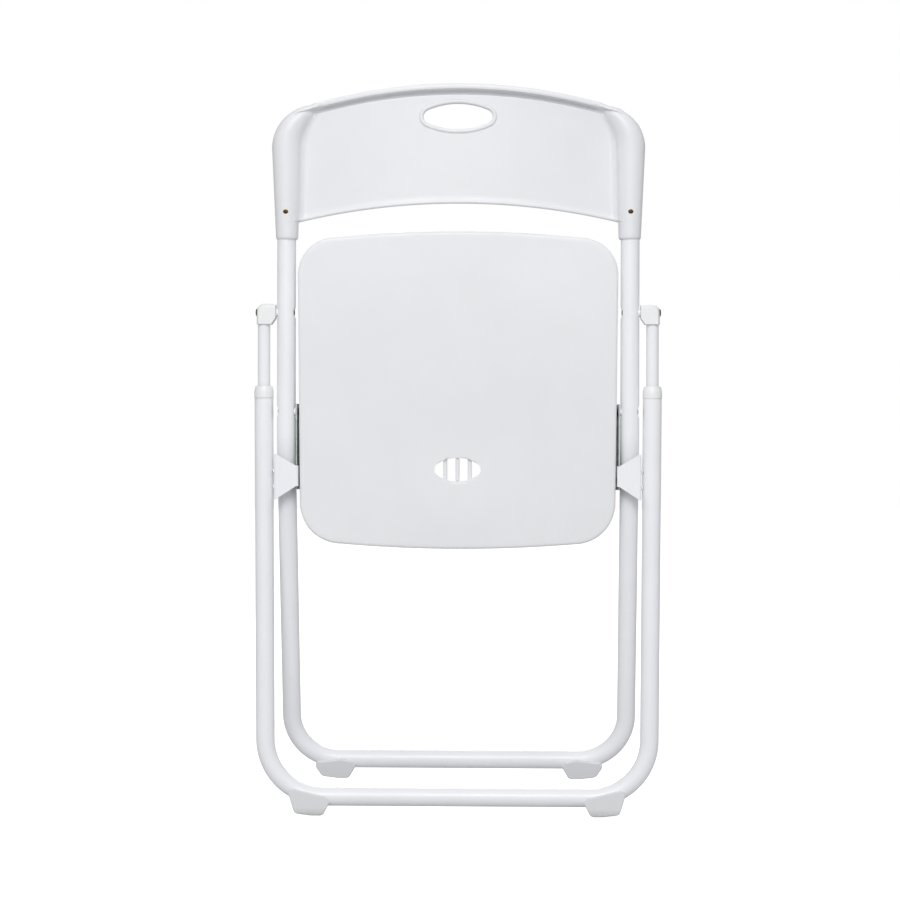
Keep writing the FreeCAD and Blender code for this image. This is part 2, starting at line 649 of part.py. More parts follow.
def bracket_fixings():
    """Two rivets fix each bracket to the rear tube, each through a short spacer."""
    rivets, spacers = [], []
    face = "[rear_x] - [tube_radius]"
    inside = f"{face} + [tube_wall]"
    plate = "[bracket_outer_x] - [bracket_steel]"
    for _, side in SIDES:
        for z in ("[bracket_rivet_low]", "[bracket_rivet_high]"):
            across = ("[bracket_rivet_y]", z)
            heads = [(f"{plate} - 1.2", plate, "3.8"), (f"{inside} + 1.6", f"{inside} + 2.5", "3")]
            rivets.append(rivet(side, plate, f"{inside} + 1.6", across, heads, "[bracket_rivet_radius]"))
            ring = cylinder("X", *order(side, "[bracket_outer_x]", f"{face} + 0.35"), across, "2.75")
            bore = cylinder("X", *order(side, "[bracket_outer_x] - 1", f"{face} + 2"), across,
                            "[bracket_rivet_radius]")
            spacers.append(cut(ring, bore, rear_bar))
    finish_node(group(rivets), "bracket_rivets")
    finish_node(group(spacers), "bracket_spacers")


for side_name, side_sign in SIDES:
    seat_rail(side_name, side_sign)
    bracket(side_name, side_sign)
rail_screws()
bracket_fixings()


# ---------------------------------------------------------------- seat
def seat_outline(inset):
    """The seat's plan with its four corners still sharp, set in from the rim."""
    top = (f"[seat_top_x] - {inset}", f"[seat_top] - {inset}")
    low = (f"[seat_low_x] - {inset}", f"[seat_low] + {inset}")
    points = [(f"-1 * ({low[0]})", low[1], "[seat_low_radius]", 1), low]
    points.append((top[0], top[1], "[seat_top_radius]", 1))
    points.append((f"-1 * ({top[0]})", top[1]))
    return points


def round_seat_corners(body, inset, new_y):
    """Round the four corners of the layer that was added last."""
    for radius, level in (("[seat_top_corner]", "[seat_top]"), ("[seat_low_corner]", "[seat_low]")):
        def at_corner(edge):
            near = abs(edge.CenterOfMass.z - value(level)) < 12 and abs(edge.CenterOfMass.x) > 150
            return runs_along(edge, "Y") and near and abs(edge.CenterOfMass.y - new_y) < 1
        round_edges(body, f"{radius} - {inset}", at_corner)


def seat_hollow():
    """The space inside the skirt, as its own solid with rounded corners."""
    body = new_body("seat_hollow")
    inset = "([seat_step] + [seat_wall])"
    low, high = "[seat_back_y] + [seat_plate]", "[seat_depth_y] + 1"
    layer(body, "Y", low, high, [(draw_outline, seat_outline(inset))])
    round_seat_corners(body, inset, (value(low) + value(high)) / 2)
    return body


def seat_block():
    """The rim plate with the full depth of the skirt behind it."""
    plate = new_body("seat_plate")
    face = "[seat_back_y] + [seat_plate]"
    layer(plate, "Y", "[seat_back_y]", face, [(draw_outline, seat_outline("0"))])
    round_seat_corners(plate, "0", value("[seat_back_y] + [seat_plate] / 2"))
    skirt = new_body("seat_skirt")
    layer(skirt, "Y", face, "[seat_depth_y]", [(draw_outline, seat_outline("[seat_step]"))])
    round_seat_corners(skirt, "[seat_step]", (value(face) + value("[seat_depth_y]")) / 2)
    return fuse([plate, cut(skirt, seat_hollow())])


def seat_ribs():
    """Ribs under the plate, each way, and a boss for every rail screw."""
    ribs = new_body("seat_ribs")
    low, high = "[seat_back_y] + [seat_plate] - 1", "[seat_depth_y] - 2"
    half = "[seat_wall] / 2"
    across = [f"[seat_low] + {offset}" for offset in (52, 134, 190, 246, 302)]
    reach = "[seat_low_x] - [seat_step] - 1"
    bars = []
    for z in across:
        bars.append([(f"-1 * ({reach})", f"{z} - {half}"), (reach, f"{z} - {half}"),
                     (reach, f"{z} + {half}"), (f"-1 * ({reach})", f"{z} + {half}")])
    for x in (-144, -96, -48, 48, 96, 144):
        bars.append([(f"{x} - {half}", "[seat_low] + 4"), (f"{x} + {half}", "[seat_low] + 4"),
                     (f"{x} + {half}", "[seat_top] - 4"), (f"{x} - {half}", "[seat_top] - 4")])
    for bar in bars:
        layer(ribs, "Y", low, high, [(draw_outline, bar)])
    bosses = []
    for _, side in SIDES:
        for z in SCREW_HEIGHTS:
            bosses.append(cylinder("Y", low, "[seat_depth_y]", (f"{side} * [rail_screw_x]", z), "5"))
    return fuse([ribs] + bosses)


def oval_outline(width, height, z):
    """An oval about (0, z): two wide arcs joined by tangent end arcs."""
    half, rise = f"(({width}) / 2)", f"(({height}) / 2)"
    end = f"(0.56 * {rise})"
    wide = f"((({half} - {end}) ^ 2 + {rise} ^ 2 - {end} ^ 2) / (2 * ({rise} - {end})))"
    across = f"(({half} - {end}) * {wide} / ({wide} - {end}))"
    up = f"({end} * ({wide} - {rise}) / ({wide} - {end}))"
    corners = [(f"-1 * {across}", f"{z} - {up}", wide, 1), (across, f"{z} - {up}", end, 1)]
    corners += [(across, f"{z} + {up}", wide, 1), (f"-1 * {across}", f"{z} + {up}", end, 1)]
    return corners


def seat_vent():
    """An oval opening with three bars left across it."""
    body = new_body("seat_vent")
    rise = "[vent_height] / 2"
    outline = oval_outline("[vent_width]", "[vent_height]", "[vent_z]")
    layer(body, "Y", "[seat_back_y] - 1", "[seat_depth_y] + 1", [(draw_outline, outline)])
    for step in (-1, 0, 1):
        x = f"{step} * [vent_pitch]"
        near, far = f"{x} - [vent_bar] / 2", f"{x} + [vent_bar] / 2"
        low, high = f"[vent_z] - {rise} - 1", f"[vent_z] + {rise} + 1"
        bar = [(near, low), (far, low), (far, high), (near, high)]
        layer(body, "Y", "[seat_back_y] - 2", "[seat_back_y] + [seat_plate]",
              [(draw_outline, bar)], cut=True)
    return body


def seat_shell():
    block = seat_block()
    outside = new_body("seat_outside")
    layer(outside, "Y", "[seat_back_y]", "[seat_depth_y]", [(draw_outline, seat_outline("[seat_step]"))])
    round_seat_corners(outside, "[seat_step]", (value("[seat_back_y]") + value("[seat_depth_y]")) / 2)
    ribs = common(seat_ribs(), outside)
    holes = []
    depth = ("[seat_depth_y] - 12", "[seat_depth_y] + 1")
    for _, side in SIDES:
        for z in SCREW_HEIGHTS:
            across = (f"{side} * [rail_screw_x]", z)
            holes.append(cylinder("Y", *depth, across, "[rail_screw_radius]"))
    return finish_node(cut(fuse([block, ribs]), seat_vent(), fuse(holes)), "seat_shell")


seat_shell()


# ---------------------------------------------------------------- backrest
def back_silhouette(drop):
    """The backrest seen from behind, its upper edge lowered by drop, extruded through its depth."""
    body = new_body("back_silhouette")
    corner_z = ("[back_crown] - [back_top_radius] + sqrt([back_top_radius] ^ 2 - [back_top_x] ^ 2)"
                f" - {drop}")
    panel_x, panel_z = "[back_panel_x]", "[back_panel_low]"
    right = [("[back_low_x]", "[back_low]"), ("[back_top_x]", corner_z, "[back_top_radius]", 1)]
    left = [("-1 * [back_top_x]", corner_z), ("-1 * [back_low_x]", "[back_low]")]
    left.append((f"-1 * {panel_x}", "[back_low]"))
    left.append((f"-1 * {panel_x}", panel_z, "[back_panel_radius]", -1))
    points = right + left + [(panel_x, panel_z), (panel_x, "[back_low]")]
    layer(body, "Y", "-60", "60", [(draw_outline, points)])
    top = value(corner_z)
    round_edges(body, "[back_corner]",
                lambda edge: runs_along(edge, "Y") and abs(edge.CenterOfMass.z - top) < 1)
    return body


def bowed_band(rear, front):
    """A band that follows the bow of the panel, between two distances from its rear face."""
    body = new_body("bowed_band")
    end = "[back_panel_x] + 11"
    near, far = f"[back_bow_y] + {rear}", f"[back_bow_y] + {front}"
    points = [(f"-1 * ({end})", near, "[back_bow_radius]", 1), (end, near),
              (end, far, "[back_bow_radius]", -1), (f"-1 * ({end})", far)]
    layer(body, "Z", "[back_low] - 1", "[back_crown] + 1", [(draw_outline, points)])
    return body


def sleeve(side):
    piece = doc.addObject("Part::Cone", "Sleeve")
    bind(piece, Radius1="[sleeve_low_radius]", Radius2="[sleeve_top_radius]",
         Height="[back_crown] - [back_low]", Placement__Base__x=f"{side} * [front_x]",
         Placement__Base__z="[back_low]")
    return piece


def backrest():
    outline = back_silhouette("0")
    lowered = back_silhouette("[back_lip]")
    body = fuse([bowed_band("0", "[back_panel]"), sleeve(-1), sleeve(1)])
    shell = common(body, outline)
    lip = cut(common(bowed_band("-1 * [back_lip_depth]", "[back_panel]"), outline), lowered)
    width, height = "[handle_width] + 2 * [handle_rim]", "[handle_height] + 2 * [handle_rim]"
    rim, hand_hole = new_body("rim"), new_body("hand_hole")
    layer(rim, "Y", "[handle_rim_y]", "-11", [(draw_outline, oval_outline(width, height, "[handle_z]"))])
    opening = oval_outline("[handle_width]", "[handle_height]", "[handle_z]")
    layer(hand_hole, "Y", "-40", "40", [(draw_outline, opening)])
    sockets = []
    for _, side in SIDES:
        across = (f"{side} * [front_x]", "0")
        sockets.append(cylinder("Z", "[back_low] - 1", "[front_top]", across, "[tube_radius]"))
        screw = (f"{side} * [front_x]", "[back_screw_z]")
        sockets.append(cylinder("Y", "-30", "0", screw, "[back_screw_radius]"))
        sockets.append(cylinder("Y", "-30", "-12.2", screw, "[back_screw_head]"))
    shell = cut(fuse([shell, lip, rim]), hand_hole, fuse(sockets))
    return finish_node(shell, "backrest_shell")


def backrest_screws():
    """One pan head screw through each sleeve into the tube."""
    screws = []
    for _, side in SIDES:
        across = (f"{side} * [front_x]", "[back_screw_z]")
        shank = cylinder("Y", "-12.2", "-4", across, "[back_screw_radius]")
        head = cylinder("Y", "-14.2", "-12.2", across, "[back_screw_head]")
        screws.append(fuse([shank, head]))
    return finish_node(group(screws), "backrest_screws")


backrest()
backrest_screws()

# ---------------------------------------------------------------- checks and files
doc.recompute()
for thing in doc.Objects:
    if "Invalid" in thing.State or "Error" in thing.State:
        raise SystemExit(f"{thing.Name} ({thing.Label}) failed: {thing.State}")
for node in NODES:
    if node.Shape.isNull() or not node.Shape.isValid():
        raise SystemExit(f"{node.Label} has no valid shape")

os.makedirs("parts", exist_ok=True)
for node in NODES:
    node.Shape.exportStep(f"parts/{node.Label}.step")
    box = node.Shape.BoundBox
    print(f"{node.Label:22s} solids {len(node.Shape.Solids)}  volume {node.Shape.Volume:9.0f}  "
          f"x {box.XMin:7.1f} {box.XMax:7.1f}  y {box.YMin:7.1f} {box.YMax:7.1f}  "
          f"z {box.ZMin:6.1f} {box.ZMax:6.1f}")
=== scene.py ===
import bmesh
import bpy
import math
from mathutils import Matrix, Vector
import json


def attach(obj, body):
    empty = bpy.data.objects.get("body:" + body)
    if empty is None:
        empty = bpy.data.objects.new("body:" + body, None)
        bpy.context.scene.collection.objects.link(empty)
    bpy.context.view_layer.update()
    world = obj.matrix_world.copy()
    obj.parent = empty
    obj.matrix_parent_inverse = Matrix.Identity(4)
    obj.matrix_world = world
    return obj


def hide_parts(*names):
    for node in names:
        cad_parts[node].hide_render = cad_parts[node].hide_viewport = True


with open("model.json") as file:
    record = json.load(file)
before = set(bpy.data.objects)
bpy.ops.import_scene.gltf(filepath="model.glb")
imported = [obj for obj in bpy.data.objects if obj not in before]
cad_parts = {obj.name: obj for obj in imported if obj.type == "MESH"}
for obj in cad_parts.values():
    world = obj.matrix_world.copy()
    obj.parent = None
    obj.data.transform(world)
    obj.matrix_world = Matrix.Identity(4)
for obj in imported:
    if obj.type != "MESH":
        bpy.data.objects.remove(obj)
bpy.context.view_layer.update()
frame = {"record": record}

# ================================================================ front frame tube
# The front legs and the front crossbar: one length of 22 mm round steel tube, bent forwards
# under the seat and across at the bottom, with flats pressed in where the pivots are riveted.
# It is powder coated white all over before the chair is put together.
joints = {joint["name"]: joint for joint in frame["record"]["behaviour"]["joints"]}
HINGE_Y = joints["seat_fold"]["pos_m"][1]
SEAT_PIVOT_Z = joints["seat_fold"]["pos_m"][2]
ROD_PIVOT_Z = joints["rod_swing_left"]["pos_m"][2]
FRONT_LEG_X = 0.2022
FRONT_TOP_Z = 0.780
TUBE_RADIUS = 0.011
TUBE_WALL = 0.0008
FLAT_RADIUS = 0.0056
FLAT_DEPTH = 0.0024


def srgb(code):
    """A hex colour as the linear numbers that a shader takes."""
    parts = [int(code[i:i + 2], 16) / 255 for i in (0, 2, 4)]
    return [part / 12.92 if part <= 0.04045 else ((part + 0.055) / 1.055) ** 2.4
            for part in parts] + [1.0]


def add(tree, kind, into=None, **settings):
    """A node with its settings; into maps each input to a value or to the output that feeds it."""
    node = tree.nodes.new(kind)
    for name, choice in settings.items():
        setattr(node, name, choice)
    for name, source in (into or {}).items():
        if isinstance(source, bpy.types.NodeSocket):
            tree.links.new(source, node.inputs[name])
        else:
            node.inputs[name].default_value = source
    return node


def empty_material(name):
    material = bpy.data.materials.new(name)
    material.use_nodes = True
    material.node_tree.nodes.clear()
    return material


def powder_coated_steel():
    """White polyester powder on steel: an even satin gloss over a faint orange peel about 1.5 mm
    across, a little whiter or greyer from place to place, and duller where hands have rubbed it."""
    material = empty_material("white_powder_coated_steel")
    tree = material.node_tree
    place = add(tree, "ShaderNodeTexCoord").outputs["Object"]
    cloud = add(tree, "ShaderNodeTexNoise", {"Vector": place, "Scale": 14.0, "Detail": 4.0})
    tint = add(tree, "ShaderNodeMix", {
        "Factor": cloud.outputs["Fac"], 6: srgb("EFF1F5"), 7: srgb("F8F9FC")}, data_type="RGBA")
    rub = add(tree, "ShaderNodeTexNoise",
              {"Vector": place, "Scale": 55.0, "Detail": 6.0, "Roughness": 0.65})
    gloss = add(tree, "ShaderNodeMapRange", {"Value": rub.outputs["Fac"], "From Min": 0.35, "From Max": 0.7,
                                            "To Min": 0.3, "To Max": 0.44})
    peel = add(tree, "ShaderNodeTexNoise", {"Vector": place, "Scale": 640.0, "Detail": 1.5})
    bump = add(tree, "ShaderNodeBump", {"Height": peel.outputs["Fac"], "Strength": 0.35,
                                        "Distance": 0.00007})
    shader = add(tree, "ShaderNodeBsdfPrincipled", {
        "Base Color": tint.outputs[2], "Roughness": gloss.outputs["Result"], "IOR": 1.5,
        "Specular IOR Level": 0.5, "Normal": bump.outputs["Normal"]})
    add(tree, "ShaderNodeOutputMaterial", {"Surface": shader.outputs["BSDF"]})
    return material


def piece_from(shape, name, material, crease=35):
    """The finished bmesh as an object, smooth except across edges sharper than crease degrees."""
    for face in shape.faces:
        face.smooth = True
    for edge in shape.edges:
        if len(edge.link_faces) == 2 and edge.calc_face_angle(0) > math.radians(crease):
            edge.smooth = False
    mesh = bpy.data.meshes.new(name)
    shape.to_mesh(mesh)
    shape.free()
    mesh.materials.append(material)
    piece = bpy.data.objects.new(name, mesh)
    bpy.context.scene.collection.objects.link(piece)
    return piece


def skin(shape, rings, loop=False):
    """Faces laid over rings of points, each ring joined to the next. A loop
    joins its last ring to its first; anything else has its ends closed."""
    layers = [[shape.verts.new(point) for point in ring] for ring in rings]
    pairs = list(zip(layers, layers[1:]))
    if loop:
        pairs.append((layers[-1], layers[0]))
    for near, far in pairs:
        for i in range(len(near)):
            j = (i + 1) % len(near)
            shape.faces.new((near[i], near[j], far[j], far[i]))
    if not loop:
        shape.faces.new(layers[0])
        shape.faces.new(layers[-1])


def outward(shape):
    bmesh.ops.recalc_face_normals(shape, faces=shape.faces)
    return shape


def bent_path(corners):
    """Points along straight runs joined by tangent arcs; each corner is a point and its radius."""
    points = [Vector(corners[0][0])]
    for i in range(1, len(corners) - 1):
        corner, radius = Vector(corners[i][0]), corners[i][1]
        back = (Vector(corners[i - 1][0]) - corner).normalized()
        ahead = (Vector(corners[i + 1][0]) - corner).normalized()
        half_turn = (math.pi - back.angle(ahead)) / 2
        inset = radius * math.tan(half_turn)
        centre = corner + (back + ahead).normalized() * radius / math.cos(half_turn)
        first, last = corner + back * inset - centre, corner + ahead * inset - centre
        axis = first.cross(last).normalized()
        steps = max(4, round(math.degrees(2 * half_turn) / 3))
        for step in range(steps + 1):
            points.append(centre + Matrix.Rotation(2 * half_turn * step / steps, 3, axis) @ first)
    points.append(Vector(corners[-1][0]))
    return points


def with_levels(points, levels):
    """The path with extra points at those heights on its upright runs."""
    full = [points[0]]
    for near, far in zip(points, points[1:]):
        low, high = sorted((near.z, far.z))
        if abs(near.x - far.x) < 0.004 and high - low > 0.05:
            inside = sorted(level for level in levels if low < level < high)
            if near.z > far.z:
                inside.reverse()
            full += [near.lerp(far, (level - near.z) / (far.z - near.z)) for level in inside]
        full.append(far)
    return full


def rings_along(points, radius, sides):
    """Rings square to a path, each turned from the last by no more than the path bends."""
    rings = []
    across = None
    for i, point in enumerate(points):
        ahead = (points[min(i + 1, len(points) - 1)] - points[max(i - 1, 0)]).normalized()
        if across is None:
            across = Vector((0, 1, 0)).cross(ahead).normalized()
        across = (across - ahead * across.dot(ahead)).normalized()
        other = ahead.cross(across)
        angles = [2 * math.pi * k / sides for k in range(sides)]
        rings.append([point + (across * math.cos(a) + other * math.sin(a)) * radius for a in angles])
    return rings


def press_flats(rings, centre_x, heights, radius=TUBE_RADIUS):
    """Press a round flat into both sides of an upright tube at each height."""
    for ring in rings:
        for point in ring:
            for height in heights:
                away = math.hypot(point.y - HINGE_Y, point.z - height)
                offset = abs(point.x) - centre_x
                if away < 0.02 and abs(offset) <= radius * 1.001:
                    floor = radius - FLAT_DEPTH + max(0.0, away - FLAT_RADIUS) * 1.4
                    offset = max(-floor, min(floor, offset))
                    point.x = math.copysign(centre_x + offset, point.x)


leg_lean = math.radians(14)
bend_z = 0.441
front_reach = 0.399
crossbar_y = HINGE_Y + front_reach * math.sin(leg_lean)
crossbar_z = bend_z - front_reach * math.cos(leg_lean)
front_half = [((HINGE_Y, FRONT_TOP_Z), 0), ((HINGE_Y, bend_z), 0.060), ((crossbar_y, crossbar_z), 0.057)]
front_corners = [((-FRONT_LEG_X, *place), radius) for place, radius in front_half]
front_corners += [((FRONT_LEG_X, *place), radius) for place, radius in front_half[::-1]]
pivot_levels = [height + step * 0.0005 for height in (SEAT_PIVOT_Z, ROD_PIVOT_Z) for step in range(-18, 19)]
front_path = with_levels(bent_path(front_corners), pivot_levels)
outer_rings = rings_along(front_path, TUBE_RADIUS, 72)
inner_rings = rings_along(front_path, TUBE_RADIUS - TUBE_WALL, 72)
press_flats(outer_rings, FRONT_LEG_X, (SEAT_PIVOT_Z, ROD_PIVOT_Z))
press_flats(inner_rings, FRONT_LEG_X, (SEAT_PIVOT_Z, ROD_PIVOT_Z), TUBE_RADIUS - TUBE_WALL)
tube_shape = bmesh.new()
skin(tube_shape, outer_rings + inner_rings[::-1], loop=True)
coated_steel = powder_coated_steel()
front_frame = piece_from(outward(tube_shape), "front_frame", coated_steel, crease=50)
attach(front_frame, "main_frame")
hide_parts("main_tube")

# ================================================================ rear frame tube
# The rear legs and the rear crossbar: a second length of the same tube, bent flat, whose legs
# close in slightly towards the floor. Its open upper ends take the slide rods.
REAR_LEG_X = 0.2287
REAR_TOP_Z = 0.490
REAR_LOW_X, REAR_LOW_Z, REAR_BEND = 0.2257, 0.021, 0.068
rear_corners = [((-REAR_LEG_X, HINGE_Y, REAR_TOP_Z), 0), ((-REAR_LOW_X, HINGE_Y, REAR_LOW_Z), REAR_BEND),
                ((REAR_LOW_X, HINGE_Y, REAR_LOW_Z), REAR_BEND), ((REAR_LEG_X, HINGE_Y, REAR_TOP_Z), 0)]
rear_path = bent_path(rear_corners)
tube_shape = bmesh.new()
skin(tube_shape, rings_along(rear_path, TUBE_RADIUS, 64)
     + rings_along(rear_path, TUBE_RADIUS - TUBE_WALL, 64)[::-1], loop=True)
rear_frame = piece_from(outward(tube_shape), "rear_frame_tube", coated_steel, crease=50)
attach(rear_frame, "rear_frame")
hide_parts("rear_tube")

# ================================================================ feet
# Four moulded plastic shoes pushed up round the bends of the two crossbars. Each wraps the tube
# and has a flat sole; the front pair lean with the front legs. Polypropylene, scuffed below.
FOOT_HALF_DEPTH, FOOT_WIDTH, SOLE_DROP = 0.0132, 0.0495, 0.021


def scuffed_polypropylene():
    """Off-white polypropylene from a fine spark-eroded mould, with grey scuffs that gather on the
    lowest few millimetres, where the shoes slide on floors."""
    material = empty_material("scuffed_white_polypropylene")
    tree = material.node_tree
    place = add(tree, "ShaderNodeTexCoord").outputs["Object"]
    height = add(tree, "ShaderNodeSeparateXYZ", {"Vector": place}).outputs["Z"]
    low = add(tree, "ShaderNodeMapRange", {"Value": height, "From Min": 0.0, "From Max": 0.009,
                                          "To Min": 1.0, "To Max": 0.0})
    scratch = add(tree, "ShaderNodeTexNoise",
                  {"Vector": place, "Scale": 260.0, "Detail": 7.0, "Roughness": 0.75})
    worn = add(tree, "ShaderNodeMath", {0: low.outputs["Result"], 1: scratch.outputs["Fac"]},
               operation="MULTIPLY")
    tint = add(tree, "ShaderNodeMix", {"Factor": worn.outputs[0], 6: srgb("E1E2E5"), 7: srgb("9C9B98")},
               data_type="RGBA")
    grain = add(tree, "ShaderNodeTexNoise", {"Vector": place, "Scale": 900.0, "Detail": 2.0})
    bump = add(tree, "ShaderNodeBump", {"Height": grain.outputs["Fac"], "Strength": 0.4,
                                        "Distance": 0.00006})
    gloss = add(tree, "ShaderNodeMapRange", {"Value": worn.outputs[0], "To Min": 0.42, "To Max": 0.8})
    shader = add(tree, "ShaderNodeBsdfPrincipled", {
        "Base Color": tint.outputs[2], "Roughness": gloss.outputs["Result"], "IOR": 1.49,
        "Normal": bump.outputs["Normal"]})
    add(tree, "ShaderNodeOutputMaterial", {"Surface": shader.outputs["BSDF"]})
    return material


def soften(piece, width, segments=3):
    """Round a piece's sharp edges, and keep its flat faces looking flat."""
    bevel = piece.modifiers.new("Rounding", "BEVEL")
    bevel.width = width
    bevel.segments = segments
    bevel.limit_method = "ANGLE"
    bevel.angle_limit = math.radians(30)
    even = piece.modifiers.new("Shading", "WEIGHTED_NORMAL")
    even.keep_sharp = False


def slab(shape, outline, near, far, place=None):
    """An outline in X and Z given thickness along Y from near to far, then moved to its place."""
    rings = [[Vector((x, y, z)) for x, z in outline] for y in (near, far)]
    if place:
        rings = [[place @ point for point in ring] for ring in rings]
    skin(shape, rings)


def foot_outline(side, inner, middle, rise):
    """A shoe seen squarely: down its inner end, along the sole, and up round the tube's bend."""
    outer, top = inner + FOOT_WIDTH, middle + rise
    sole = middle - SOLE_DROP
    points = [(inner, middle - 0.005), (inner + 0.0075, middle - 0.0185), (inner + 0.0105, sole),
              (inner + 0.0225, sole), (outer - 0.009, middle - 0.0187), (outer - 0.0065, middle - 0.0165),
              (outer - 0.001, top - 0.009), (outer, top - 0.0055), (outer - 0.002, top),
              (outer - 0.008, top), (inner + 0.018, middle + 0.004), (inner + 0.004, middle + 0.001)]
    return [(side * x, z) for x, z in points]


shoe_plastic = scuffed_polypropylene()
front_lean = Matrix.Translation((0, HINGE_Y, bend_z)) @ Matrix.Rotation(leg_lean, 4, "X")
for side_name, side in (("left", -1), ("right", 1)):
    for frame_name, body, lean in (("rear", "rear_frame", None), ("front", "main_frame", front_lean)):
        shoe = bmesh.new()
        if lean:
            outline, mid_y = foot_outline(side, 0.1245, -front_reach, 0.001), 0.0
        else:
            outline, mid_y = foot_outline(side, 0.1486, REAR_LOW_Z, 0.010), HINGE_Y
        slab(shoe, outline, mid_y - FOOT_HALF_DEPTH, mid_y + FOOT_HALF_DEPTH, lean)
        foot = piece_from(outward(shoe), f"{frame_name}_shoe_{side_name}", shoe_plastic)
        soften(foot, 0.0022, 4)
        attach(foot, body)
        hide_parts(f"{frame_name}_foot_{side_name}")

# ================================================================ seat shell
# The seat: one white polypropylene moulding, a thin plate with a rolled rim and a shallow dish,
# stiffened below by a skirt and a grid of ribs, with an oval vent crossed by three bars.
SEAT_FACE_Y = HINGE_Y - 0.011
SEAT_UNDER_Y = HINGE_Y + 0.012
SEAT_TOP_Z, SEAT_LOW_Z = 0.6742, 0.3247
SEAT_TOP_X, SEAT_LOW_X = 0.1886, 0.1848
SEAT_TOP_ARC, SEAT_LOW_ARC = 1.447, 1.616
SEAT_TOP_ROUND, SEAT_LOW_ROUND = 0.044, 0.048
SEAT_PLATE = 0.004
VENT_Z = 0.4067
VENT_HALF = (0.0275, 0.014)


def moulded_polypropylene():
    """White polypropylene with a satin mould texture: grain about a millimetre across, drawn a
    little coarser than life, slow waves from cooling, and faint dull marks from use."""
    material = empty_material("white_moulded_polypropylene")
    tree = material.node_tree
    place = add(tree, "ShaderNodeTexCoord").outputs["Object"]
    cloud = add(tree, "ShaderNodeTexNoise", {"Vector": place, "Scale": 9.0, "Detail": 5.0})
    tint = add(tree, "ShaderNodeMix", {
        "Factor": cloud.outputs["Fac"], 6: srgb("E4E5E8"), 7: srgb("EEEFF2")}, data_type="RGBA")
    marks = add(tree, "ShaderNodeTexNoise",
                {"Vector": place, "Scale": 38.0, "Detail": 8.0, "Roughness": 0.7})
    gloss = add(tree, "ShaderNodeMapRange", {
        "Value": marks.outputs["Fac"], "From Min": 0.4, "From Max": 0.68, "To Min": 0.36, "To Max": 0.5})
    grain = add(tree, "ShaderNodeTexNoise", {"Vector": place, "Scale": 1100.0, "Detail": 2.0})
    fine = add(tree, "ShaderNodeBump", {"Height": grain.outputs["Fac"], "Strength": 0.35,
                                        "Distance": 0.00005})
    wave = add(tree, "ShaderNodeTexNoise", {"Vector": place, "Scale": 26.0, "Detail": 1.0})
    bump = add(tree, "ShaderNodeBump", {"Height": wave.outputs["Fac"], "Strength": 0.25, "Distance": 0.0004,
                                       "Normal": fine.outputs["Normal"]})
    shader = add(tree, "ShaderNodeBsdfPrincipled", {
        "Base Color": tint.outputs[2], "Roughness": gloss.outputs["Result"], "IOR": 1.49,
        "Normal": bump.outputs["Normal"]})
    add(tree, "ShaderNodeOutputMaterial", {"Surface": shader.outputs["BSDF"]})
    return material


def seat_edge(inset):
    """The seat's outline with rounded corners, set in by inset, as evenly spread (x, z) points."""
    def arc_z(x, level, radius, sign):
        return level + sign * (math.sqrt(radius ** 2 - x ** 2) - math.sqrt(radius ** 2 - SEAT_TOP_X ** 2))

    quarter = []
    top_x, low_x = SEAT_TOP_X - inset, SEAT_LOW_X - inset
    top_round, low_round = SEAT_TOP_ROUND - inset, SEAT_LOW_ROUND - inset
    slope = (top_x - low_x) / (SEAT_TOP_Z - SEAT_LOW_Z)

    def side_x(z):
        return low_x + slope * (z - SEAT_LOW_Z)

    top_centre_x = top_x - top_round
    top_tangent_z = arc_z(top_centre_x, SEAT_TOP_Z, SEAT_TOP_ARC, 1) - inset
    for i in range(30):
        x = top_centre_x * i / 30
        quarter.append((x, arc_z(x, SEAT_TOP_Z, SEAT_TOP_ARC, 1) - inset))
    centre = (top_centre_x, top_tangent_z - top_round)
    for i in range(24):
        angle = math.radians(90 - 90 * i / 24)
        x = centre[0] + top_round * math.cos(angle)
        quarter.append((x + (side_x(centre[1]) - top_x) * math.cos(angle),
                        centre[1] + top_round * math.sin(angle)))
    low_centre_x = low_x - low_round
    low_tangent_z = arc_z(low_centre_x, SEAT_LOW_Z, SEAT_LOW_ARC, -1) + inset
    low_centre = (low_centre_x, low_tangent_z + low_round)
    for i in range(40):
        z = centre[1] + (low_centre[1] - centre[1]) * i / 40
        quarter.append((side_x(z), z))
    for i in range(24):
        angle = math.radians(-90 * i / 24)
        x = low_centre[0] + low_round * math.cos(angle)
        quarter.append((x + (side_x(low_centre[1]) - low_x) * math.cos(angle),
                        low_centre[1] + low_round * math.sin(angle)))
    for i in range(31):
        x = low_centre_x * (1 - i / 30)
        quarter.append((x, arc_z(x, SEAT_LOW_Z, SEAT_LOW_ARC, -1) + inset))
    return quarter + [(-x, z) for x, z in quarter[-2:0:-1]]


def seat_dish(x, z):
    """How deep the sitting face dips below its rim: a broad hollow, deepest towards the rear."""
    across = min(1.0, abs(x) / 0.175)
    along = (z - 0.455) / (0.205 if z > 0.455 else 0.125)
    reach = math.hypot(across, along)
    if reach >= 1.0:
        return 0.0
    return 0.0032 * (math.cos(math.pi * reach) + 1) / 2


def seat_ring(inset, y, scale=1.0, dish=0.0):
    middle = (SEAT_TOP_Z + SEAT_LOW_Z) / 2
    ring = []
    for x, z in seat_edge(inset):
        x, z = x * scale, middle + (z - middle) * scale
        ring.append(Vector((x, y + dish * seat_dish(x, z), z)))
    return ring


